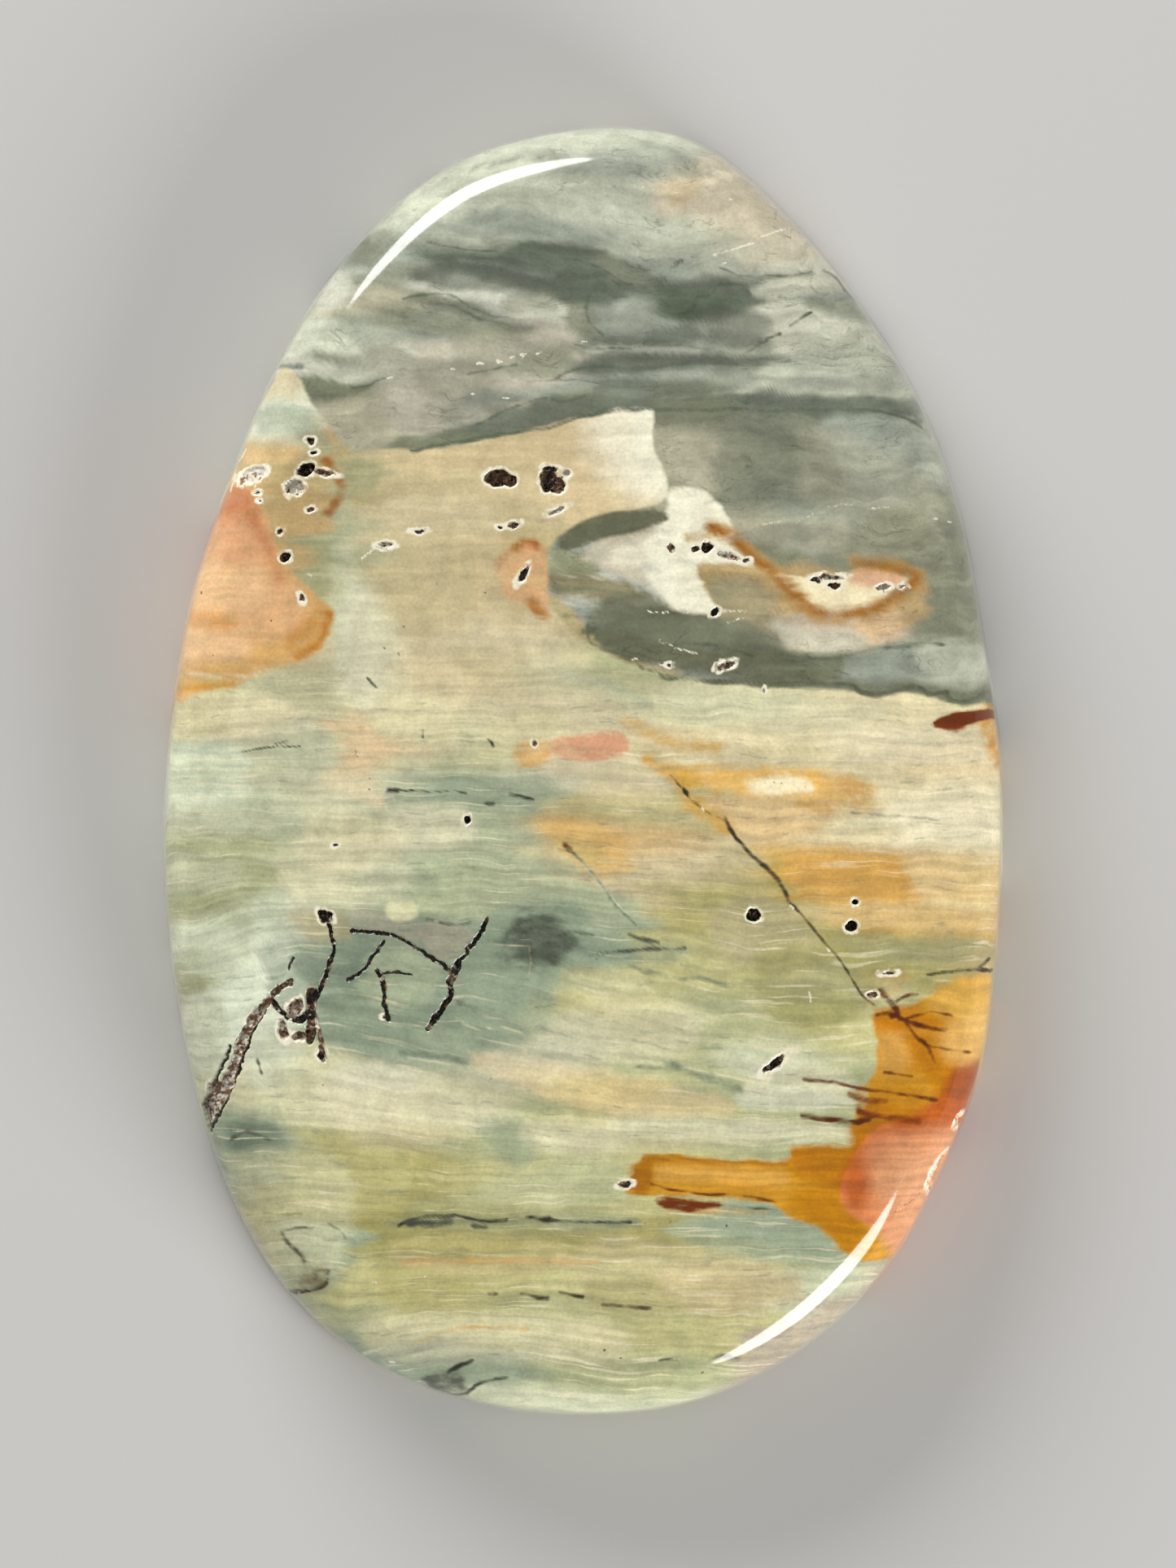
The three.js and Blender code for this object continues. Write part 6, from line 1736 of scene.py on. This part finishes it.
def new_group(name: str, inputs: dict[str, str], outputs: dict[str, str]) -> tuple[NodeSheet, dict, dict]:
    """Starts a shader node group with named sockets.

    Args:
        name: the group's name.
        inputs: the kind of each input socket.
        outputs: the kind of each output socket.

    Returns:
        Its sheet, its inputs to read and its outputs to feed.
    """
    tree = bpy.data.node_groups.new(name, "ShaderNodeTree")
    for title, kind in inputs.items():
        tree.interface.new_socket(title, in_out="INPUT", socket_type=kind)
    for title, kind in outputs.items():
        tree.interface.new_socket(title, in_out="OUTPUT", socket_type=kind)
    sheet = NodeSheet(tree)
    entry = sheet.add("NodeGroupInput")
    leave = sheet.add("NodeGroupOutput")
    return sheet, {s.name: s for s in entry.outputs}, {s.name: s for s in leave.inputs}


FLOAT, VECTOR = "NodeSocketFloat", "NodeSocketVector"


def edge_group() -> bpy.types.NodeTree:
    """A painted shape's edge: its level, broken up by a ragged noise, becomes a mask.

    Returns:
        The group.
    """
    sheet, given, results = new_group("painted edge", {"Level": FLOAT, "Layers": VECTOR, "Ragged": FLOAT},
                                      {"Mask": FLOAT})
    ragged = sheet.math("MULTIPLY", sheet.centred(given["Layers"], 1.0, 4.0), given["Ragged"])
    level = sheet.math("ADD", given["Level"], ragged)
    sheet.feed(results["Mask"], sheet.grade(level, -1.0, 1.0))
    return sheet.tree


def laminae_group() -> bpy.types.NodeTree:
    """The wood's fine growth layers: soft bands, fine lines and thin pale threads along the bedding.

    Returns:
        The group.
    """
    sheet, given, results = new_group(
        "growth laminae", {"Bedding": FLOAT, "Place": VECTOR},
        {"Bands": FLOAT, "Lines": FLOAT, "Threads": FLOAT, "Dashes": FLOAT, "Layers": VECTOR})
    place = sheet.apart(given["Place"])
    wander = sheet.math("MULTIPLY", sheet.centred(given["Place"], 260.0), 0.8)
    level = sheet.math("ADD", given["Bedding"], wander)
    # each pattern is drawn out along the layers and fine across them, both per millimetre
    bands = sheet.noise(sheet.drawn_out(place, level, along=0.12, across=1.1), 1.0, detail=2.0)
    lines = sheet.noise(sheet.drawn_out(place, level, along=0.22, across=3.2), 1.0, detail=4.0)
    patchy = sheet.grade(sheet.noise(given["Place"], 420.0), 0.42, 0.62)
    fine = sheet.noise(sheet.drawn_out(place, level, along=0.35, across=7.0), 1.0, detail=1.0)
    here = sheet.math("MULTIPLY_ADD", patchy, 0.8, 0.2)
    threads = sheet.math("MULTIPLY", sheet.grade(fine, 0.58, 0.7), here)
    short = sheet.noise(sheet.drawn_out(place, level, along=1.1, across=6.0), 1.0, detail=2.0)
    elsewhere = sheet.math("MULTIPLY_ADD", patchy, -0.7, 1.0)
    dashes = sheet.math("MULTIPLY", sheet.grade(short, 0.6, 0.72), elsewhere)
    sheet.feed(results["Bands"], sheet.grade(bands, 0.36, 0.64, -1.0, 1.0))
    sheet.feed(results["Lines"], sheet.grade(lines, 0.34, 0.66, -1.0, 1.0))
    sheet.feed(results["Threads"], threads)
    sheet.feed(results["Dashes"], dashes)
    sheet.feed(results["Layers"], sheet.drawn_out(place, level, along=1.3, across=3.2))
    return sheet.tree


def marbling_group() -> bpy.types.NodeTree:
    """The chert's flow: folded dark and pale wisps with broken edges.

    Returns:
        The group.
    """
    sheet, given, results = new_group("chert marbling", {"Bedding": FLOAT, "Place": VECTOR},
                                      {"Wisps": FLOAT, "Veins": FLOAT})
    fold = sheet.math("MULTIPLY", sheet.centred(given["Place"], 300.0, distortion=0.4), 2.4)
    level = sheet.math("ADD", given["Bedding"], fold)
    layers = sheet.drawn_out(sheet.apart(given["Place"]), level, along=0.25, across=1.3)
    wisps = sheet.noise(layers, 1.0, detail=5.0, distortion=0.25)
    crease = sheet.math("ABSOLUTE", sheet.centred(layers, 1.8, detail=4.0, distortion=0.4))
    patchy = sheet.grade(sheet.noise(given["Place"], 600.0), 0.46, 0.62)
    sheet.feed(results["Wisps"], sheet.grade(wisps, 0.34, 0.66, -1.0, 1.0))
    sheet.feed(results["Veins"], sheet.math("MULTIPLY", sheet.grade(crease, 0.0, 0.02, 1.0, 0.0), patchy))
    return sheet.tree


@dataclass(frozen=True)
class JasperFinish:
    """The polished stone: painted ground and stains, growth layers, crystals in the hollows, painted
    highlights on the vugs' rims.
    """

    polish: float = 0.09
    back_roughness: float = 0.42
    crystal_roughness: float = 0.3
    gloss: float = 1.54  # index of refraction of quartz
    richness: float = 1.09
    lightness: float = 0.99
    relief: float = 0.08  # height of the crystals in millimetres
    # how fine each pattern is, in repeats per metre
    crystal_scale: float = 6500.0
    cloud_scale: float = 1400.0
    speckle_scale: float = 8000.0
    jitter_scale: float = 9000.0
    # the noise that breaks up the painted rim highlight
    rim_highlight_scale: float = 3000.0
    lining_scale: float = 2600.0
    sanding_scale: float = 14000.0
    # how strongly each pattern shows
    bands: float = 0.07
    wisps: float = 0.17
    veins: float = -0.32
    threads: float = 0.6
    dashes: float = 0.35
    lines: float = 0.12
    clouds: float = 0.55
    speckles: float = 0.42
    marks: float = 0.85
    jitter: float = 0.12
    # levels in millimetres between which each mark or hollow begins
    grain_edge: tuple[float, float] = (-0.01, 0.05)
    fleck_edge: tuple[float, float] = (-0.02, 0.03)
    # the painted highlight round each vug's rim
    rim_highlight_edge: tuple[float, float] = (-0.12, -0.045)
    hollow_edge: tuple[float, float] = (0.0, 0.035)
    # threads and dashes fade between these two places along the stone, down to this share
    fading: tuple[float, float] = (2.0, 5.0)
    faded: float = 0.25
    iron_black: Colour = (0.02, 0.016, 0.011, 1)
    iron_brown: Colour = (0.29, 0.16, 0.08, 1)
    quartz: Colour = (0.80, 0.74, 0.62, 1)
    glint: Colour = (0.75, 0.62, 0.48, 1)
    ragged_edges: tuple[tuple[str, float], ...] = (("pale", 2.2), ("warm", 2.4), ("dark", 3.4))
    chert_edge: float = 1.4

    def make(self) -> bpy.types.Material:
        """Builds the material.

        Returns:
            The material.
        """
        material = bpy.data.materials.new("polished jasper")
        material.use_nodes = True
        sheet = NodeSheet(material.node_tree)
        place = sheet.add("ShaderNodeTexCoord").outputs["Object"]
        grain = self._grain(sheet, place)
        colour = self._layers(sheet, place, grain)
        colour, rough, height = self._hollows(sheet, place, colour)
        shader = sheet.add("ShaderNodeBsdfPrincipled")
        shader.inputs["IOR"].default_value = self.gloss
        sheet.feed(shader.inputs["Base Color"], colour)
        sheet.feed(shader.inputs["Roughness"], rough)
        bump = sheet.add("ShaderNodeBump")
        bump.inputs["Distance"].default_value = self.relief * MM
        bump.inputs["Strength"].default_value = 1.0
        sheet.feed(bump.inputs["Height"], height)
        sheet.feed(shader.inputs["Normal"], bump.outputs[0])
        output = sheet.add("ShaderNodeOutputMaterial")
        sheet.feed(output.inputs[0], shader.outputs[0])
        return material

    def _grain(self, sheet: NodeSheet, place: Socket) -> dict[str, Socket]:
        """Reads the growth layers.

        Args:
            sheet: the material's nodes.
            place: the object coordinates.

        Returns:
            The layers' strengths by name.
        """
        group = sheet.add("ShaderNodeGroup", node_tree=laminae_group())
        sheet.feed(group.inputs["Bedding"], sheet.attribute("bedding", "Fac"))
        sheet.feed(group.inputs["Place"], place)
        return {socket.name: socket for socket in group.outputs}

    def _layers(self, sheet: NodeSheet, place: Socket, grain: dict[str, Socket]) -> Socket:
        """Lays the painted layers over the wood and works the fine grain into them.

        Args:
            sheet: the material's nodes.
            place: the object coordinates.
            grain: the growth layers.

        Returns:
            The colour.
        """
        marble = sheet.add("ShaderNodeGroup", node_tree=marbling_group())
        sheet.feed(marble.inputs["Bedding"], sheet.attribute("bedding", "Fac"))
        sheet.feed(marble.inputs["Place"], place)
        chert = self._mask(sheet, "chert", grain["Layers"], self.chert_edge)
        wooden = sheet.math("SUBTRACT", 1.0, chert)
        wood = self._shaded(sheet, sheet.attribute("wood", "Color"), grain["Bands"], self.bands)
        ash = self._shaded(sheet, sheet.attribute("chert", "Color"), marble.outputs["Wisps"], self.wisps)
        ash = self._shaded(sheet, ash, marble.outputs["Veins"], self.veins)
        colour = sheet.mix(chert, wood, ash)
        along = sheet.apart(place)[1]
        fading = (end * MM for end in self.fading)
        layered = sheet.math("MULTIPLY", wooden, sheet.grade(along, *fading, 1.0, self.faded))
        threads = sheet.math("MULTIPLY", sheet.math("MULTIPLY", grain["Threads"], layered), self.threads)
        colour = sheet.mix(threads, colour, Tint.VELLUM.paint)
        dashes = sheet.math("MULTIPLY", sheet.math("MULTIPLY", grain["Dashes"], layered), self.dashes)
        colour = sheet.mix(dashes, colour, Tint.TEAL.paint)
        for layer, ragged in self.ragged_edges:
            mask = self._mask(sheet, layer, grain["Layers"], ragged)
            colour = sheet.mix(mask, colour, sheet.attribute(layer, "Color"))
        fine = sheet.math("MULTIPLY", grain["Lines"], sheet.math("MULTIPLY_ADD", layered, 0.65, 0.35))
        colour = self._shaded(sheet, colour, fine, self.lines)
        colour = self._shaded(sheet, colour, sheet.centred(place, self.cloud_scale, 5.0), self.clouds)
        colour = self._shaded(sheet, colour, sheet.centred(place, self.speckle_scale), self.speckles)
        rich = sheet.add("ShaderNodeHueSaturation")
        rich.inputs["Saturation"].default_value = self.richness
        rich.inputs["Value"].default_value = self.lightness
        sheet.feed(rich.inputs["Color"], colour)
        return rich.outputs[0]

    def _shaded(self, sheet: NodeSheet, colour: Socket, amount: Socket, share: float) -> Socket:
        """Lightens and darkens a colour by a pattern.

        Args:
            sheet: the material's nodes.
            colour: the colour.
            amount: the pattern, round 0.
            share: how strongly it shows.

        Returns:
            The shaded colour.
        """
        scale = sheet.add("ShaderNodeVectorMath", operation="SCALE")
        sheet.feed(scale.inputs[0], colour)
        sheet.feed(scale.inputs["Scale"], sheet.math("MULTIPLY_ADD", amount, share, 1.0))
        return scale.outputs[0]

    def _mask(self, sheet: NodeSheet, layer: str, layers: Socket, ragged: float) -> Socket:
        """One layer's mask.

        Args:
            sheet: the material's nodes.
            layer: the attribute that holds the layer.
            layers: places drawn out along the bedding.
            ragged: how broken its edges are.

        Returns:
            The mask.
        """
        edge = bpy.data.node_groups.get("painted edge") or edge_group()
        group = sheet.add("ShaderNodeGroup", node_tree=edge)
        sheet.feed(group.inputs["Level"], sheet.attribute(layer, "Alpha"))
        sheet.feed(group.inputs["Layers"], layers)
        group.inputs["Ragged"].default_value = ragged
        return group.outputs[0]

    def _hollows(self, sheet: NodeSheet, place: Socket, colour: Socket) -> tuple[Socket, Socket, Socket]:
        """Colours the hollows, the grains and the flecks, and paints a highlight round the vugs' rims.

        Args:
            sheet: the material's nodes.
            place: the object coordinates.
            colour: the polished face's colour.

        Returns:
            The colour, the roughness and the height of the fine relief.
        """
        level, lining, lip = sheet.apart(sheet.attribute("hollow", "Vector"))
        dot, fleck, sanded = sheet.apart(sheet.attribute("marks", "Vector"))
        jitter = sheet.math("MULTIPLY", sheet.centred(place, self.jitter_scale), self.jitter)
        for mark, edge, tint in ((dot, self.grain_edge, Tint.LIVER), (fleck, self.fleck_edge, Tint.CREAM)):
            cover = sheet.grade(sheet.math("ADD", mark, jitter), *edge, 0.0, self.marks)
            colour = sheet.mix(cover, colour, tint.paint)
        ragged = sheet.math("ADD", level, sheet.math("MULTIPLY", jitter, 0.5))
        # painted highlight: a broken cream line round each vug's rim, where light catches the edge
        broken = sheet.grade(sheet.noise(place, self.rim_highlight_scale), 0.34, 0.52, 0.2, 1.0)
        pale = sheet.math("MULTIPLY", lip, broken)
        rim = sheet.math("MULTIPLY", sheet.grade(ragged, *self.rim_highlight_edge), pale)
        colour = sheet.mix(rim, colour, Tint.CREAM.paint)
        cells = sheet.add("ShaderNodeTexVoronoi", feature="F1")
        cells.inputs["Scale"].default_value = self.crystal_scale
        sheet.feed(cells.inputs["Vector"], place)
        spark = sheet.add("ShaderNodeSeparateColor")
        sheet.feed(spark.inputs[0], cells.outputs["Color"])
        drift = sheet.grade(sheet.noise(place, self.lining_scale), 0.35, 0.65, -0.15, 0.35)
        sparkle = sheet.math("MULTIPLY", spark.outputs[0], 0.6)
        pick = sheet.math("ADD", sparkle, sheet.math("ADD", lining, drift))
        brown = sheet.mix(sheet.grade(pick, 0.55, 0.8), self.iron_black, self.iron_brown)
        crystal = sheet.mix(sheet.grade(pick, 1.06, 1.2), brown, self.quartz)
        crystal = sheet.mix(sheet.grade(spark.outputs[1], 0.9, 0.98), crystal, self.glint)
        inside = sheet.grade(ragged, *self.hollow_edge)
        colour = sheet.mix(inside, colour, crystal)
        rough = sheet.grade(sanded, 0.0, 1.0, self.polish, self.back_roughness)
        rough = sheet.grade(inside, 0.0, 1.0, rough, self.crystal_roughness)
        height = sheet.math("MULTIPLY", inside, spark.outputs[2])
        scratched = sheet.math("MULTIPLY", sanded, 0.2)
        fine = sheet.math("MULTIPLY", sheet.noise(place, self.sanding_scale), scratched)
        return colour, rough, sheet.math("ADD", height, fine)


@dataclass
class Cabochon:
    """The stone: its mesh, the pattern kept on it, and its polish."""

    form: StoneForm = field(default_factory=StoneForm)
    finish: JasperFinish = field(default_factory=JasperFinish)
    around: int = 400
    crown_span: int = 122
    grid_offset: int = 39
    edge_steps: int = 3
    shoulder_steps: int = 14
    thin_width: float = 0.2  # lines up to this width get finer faces
    # the reach of each pass of finer faces, round the hollows and round the thin marks
    finer: tuple[tuple[float, float | None], ...] = ((0.12, 0.02), (0.03, None))
    grain_radius: float = 0.07
    fleck_width: float = 0.08
    refined_grain: float = 0.08  # radius and width within which faces get finer
    refined_fleck: float = 0.1
    rim_slack: float = 1e-4  # corners this far under the crown's rim still count as high
    inset_slack: float = 0.01  # corners this close to the rim stay on it
    seed: int = 7  # the noise starts here, so every run gives the same stone

    def build(self) -> bpy.types.Object:
        """Makes the stone.

        Returns:
            The finished piece.
        """
        noise.seed_set(self.seed)
        bench = self._rough_out()
        self._refine(bench)
        bench.finish()
        reading = SurfaceReading(bench.places())
        carver = HollowCarver(reading)
        carver.carve(VUGS, GROOVES)
        self._paint(bench, reading, carver)
        places = reading.places - bench.normals() * carver.sinking(reading.places)[:, None]
        bench.set_places(places)
        piece = bench.piece
        piece.data.materials.clear()
        piece.data.materials.append(self.finish.make())
        triangles = sum(len(face.vertices) - 2 for face in piece.data.polygons)
        log.info("%s: %d triangles", piece.name, triangles)
        return piece

    def _rough_out(self) -> MeshBench:
        """Lays rings from the back to the end of the shoulder and closes both ends with grids.

        Returns:
            The bench with the closed mesh.
        """
        form = self.form
        bench = MeshBench("jasper_cabochon", form.ring(self.around, form.back_bevel), 0)
        for step in range(self.edge_steps + 1):
            share = step / self.edge_steps
            height = form.back_bevel + (form.edge_top - form.back_bevel) * share
            bench.add_ring(form.ring(self.around, form.edge_draft * share), height)
        around = 2 * self.around
        bench.double_ring(form.ring(around, form.edge_draft), form.edge_top)
        for step in range(1, self.shoulder_steps + 1):
            inset, height = form.shoulder_ring(step / self.shoulder_steps)
            bench.add_ring(form.ring(around, inset), height)
        bench.fill(2 * self.crown_span, 2 * self.grid_offset)
        bpy.ops.mesh.select_all(action="DESELECT")
        bpy.ops.mesh.select_non_manifold()
        bench.fill(self.crown_span, self.grid_offset)
        bpy.ops.object.mode_set(mode="OBJECT")
        self._settle(bench)
        return bench

    def _settle(self, bench: MeshBench) -> None:
        """Puts the corners of the crown at their height.

        Args:
            bench: the mesh.
        """
        places = bench.places()
        high = np.flatnonzero(places[:, 2] > self.form.rim_height - self.rim_slack)
        inset = route_distance(places[high, :2], self.form.ring(self.around), closed=True)
        crown = high[inset > self.form.shoulder_ring(1.0)[0] + self.inset_slack]
        places[crown, 2] = self.form.crown_height(places[crown, :2])
        bench.set_places(places)

    def _refine(self, bench: MeshBench) -> None:
        """Gives the hollows and the thin marks finer faces.

        Args:
            bench: the mesh.
        """
        for lip, thin in self.finer:
            reading = SurfaceReading(bench.places())
            carver = HollowCarver(reading)
            carver.carve(VUGS, GROOVES)
            chosen = carver.level > -lip
            if thin is not None:
                painter = PatternPainter(reading)
                chosen |= painter.dots(GRAINS, self.refined_grain) > -thin
                chosen |= painter.flecks(FLECKS, self.refined_fleck) > -thin
                for streak in (s for s in DARK if isinstance(s, Streak) and s.width <= self.thin_width):
                    chosen |= shape_level(reading.drawn, streak) * streak.soft > -thin
                chosen &= reading.on_face
            bench.split_faces(chosen)
        self._settle(bench)

    def _paint(self, bench: MeshBench, reading: SurfaceReading, carver: HollowCarver) -> None:
        """Keeps the pattern on the mesh's corners.

        Args:
            bench: the mesh.
            reading: the corners and where each falls in the pattern.
            carver: the hollows.
        """
        painter = PatternPainter(reading)
        height = painter.bedding(FOLDS, STEPS)
        wood = painter.ground(painter.fingered(height), WOOD, WOOD_WASHES)
        bench.write("wood", "FLOAT_COLOR", np.column_stack([wood, np.ones(len(wood))]))
        ash = painter.ground(painter.swirled(), ASH, ASH_WASHES)
        bench.write("chert", "FLOAT_COLOR", painter.area(CHERT, ash))
        for name, shapes in (("pale", PALE), ("warm", WARM), ("dark", DARK)):
            bench.write(name, "FLOAT_COLOR", painter.overlay(shapes))
        bench.write("bedding", "FLOAT", height)
        # the hollow's third number is how strongly its rim takes the painted highlight
        bench.write("hollow", "FLOAT_VECTOR", np.column_stack([carver.level, carver.lining, carver.lip]))
        sanded = 1 - soft_step(0.0, 0.3, reading.places[:, 2])
        grains = painter.dots(GRAINS, self.grain_radius)
        flecks = painter.flecks(FLECKS, self.fleck_width)
        bench.write("marks", "FLOAT_VECTOR", np.column_stack([grains, flecks, sanded]))


@dataclass(frozen=True)
class Lamp:
    """A soft oval light: its bearing from +X and angle from the zenith in degrees, size and brightness."""

    name: str
    bearing: float
    zenith: float
    size: tuple[float, float]
    radiance: float
    distance: float = 400.0

    def place(self) -> None:
        """Hangs the light, facing the stone."""
        data = bpy.data.lights.new(self.name, "AREA")
        data.shape = "ELLIPSE"
        data.size, data.size_y = (side * MM for side in self.size)
        data.energy = self.radiance * math.pi * (math.pi / 4) * data.size * data.size_y
        lamp = bpy.data.objects.new(self.name, data)
        bpy.context.scene.collection.objects.link(lamp)
        bearing, zenith = math.radians(self.bearing), math.radians(self.zenith)
        toward = Vector((math.cos(bearing) * math.sin(zenith), math.sin(bearing) * math.sin(zenith),
                         math.cos(zenith)))
        lamp.location = toward * self.distance * MM
        lamp.rotation_euler = toward.to_track_quat("Z", "Y").to_euler()


@dataclass(frozen=True)
class Studio:
    """The plain floor, the soft lights and the camera that looks straight down."""

    image_height: int = 1927
    image_middle: tuple[float, float] = (722.5, 963.5)
    stone_middle: tuple[float, float] = (716.5, 947.0)
    pixels_per_mm: float = 31.72
    lens: float = 300.0
    sensor: float = 36.0
    framed_level: float = 1.2
    floor_size: float = 900.0
    lamps: tuple[Lamp, ...] = (
        Lamp("upper left light", 118.5, 68.0, (335.0, 158.0), 13.0),
        Lamp("lower right light", -49.0, 71.0, (276.0, 165.0), 13.0),
    )
    fill: float = 0.3
    floor_colour: Colour = (0.62, 0.61, 0.59, 1.0)
    floor_roughness: float = 0.8
    camera_clip: tuple[float, float] = (0.01, 10.0)  # in metres

    def build(self) -> None:
        """Sets up the whole studio."""
        self._floor()
        for lamp in self.lamps:
            lamp.place()
        self._surroundings()
        self._camera()

    def _floor(self) -> None:
        """Lays the floor."""
        bpy.ops.object.select_all(action="DESELECT")
        bpy.ops.mesh.primitive_plane_add(size=self.floor_size * MM)
        floor = bpy.context.active_object
        floor.name = floor.data.name = "floor"
        material = bpy.data.materials.new("pale floor")
        material.use_nodes = True
        shader = material.node_tree.nodes["Principled BSDF"]
        shader.inputs["Base Color"].default_value = self.floor_colour
        shader.inputs["Roughness"].default_value = self.floor_roughness
        floor.data.materials.append(material)

    def _surroundings(self) -> None:
        """Gives an even soft light from all round."""
        world = bpy.data.worlds.new("studio")
        world.use_nodes = True
        backdrop = world.node_tree.nodes["Background"]
        backdrop.inputs["Color"].default_value = (1.0, 1.0, 1.0, 1.0)
        backdrop.inputs["Strength"].default_value = self.fill
        bpy.context.scene.world = world
        bpy.context.scene.view_settings.view_transform = "Standard"

    def _camera(self) -> None:
        """Hangs the camera over the stone."""
        data = bpy.data.cameras.new("camera")
        data.lens, data.sensor_width = self.lens, self.sensor
        camera = bpy.data.objects.new("camera", data)
        bpy.context.scene.collection.objects.link(camera)
        framed = self.image_height / self.pixels_per_mm
        distance = framed * self.lens / self.sensor
        across = (self.image_middle[0] - self.stone_middle[0]) / self.pixels_per_mm
        along = (self.stone_middle[1] - self.image_middle[1]) / self.pixels_per_mm
        camera.location = Vector((across, along, self.framed_level + distance)) * MM
        data.clip_start, data.clip_end = self.camera_clip
        bpy.context.scene.camera = camera


def main() -> None:
    """Builds the stone and its setting, and says what was made."""
    logging.basicConfig(level=logging.INFO, format="%(name)s: %(message)s")
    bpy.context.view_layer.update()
    Studio().build()
    piece = Cabochon().build()
    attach(piece, "root")
    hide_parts("cabochon")


if __name__ == "__main__":
    main()
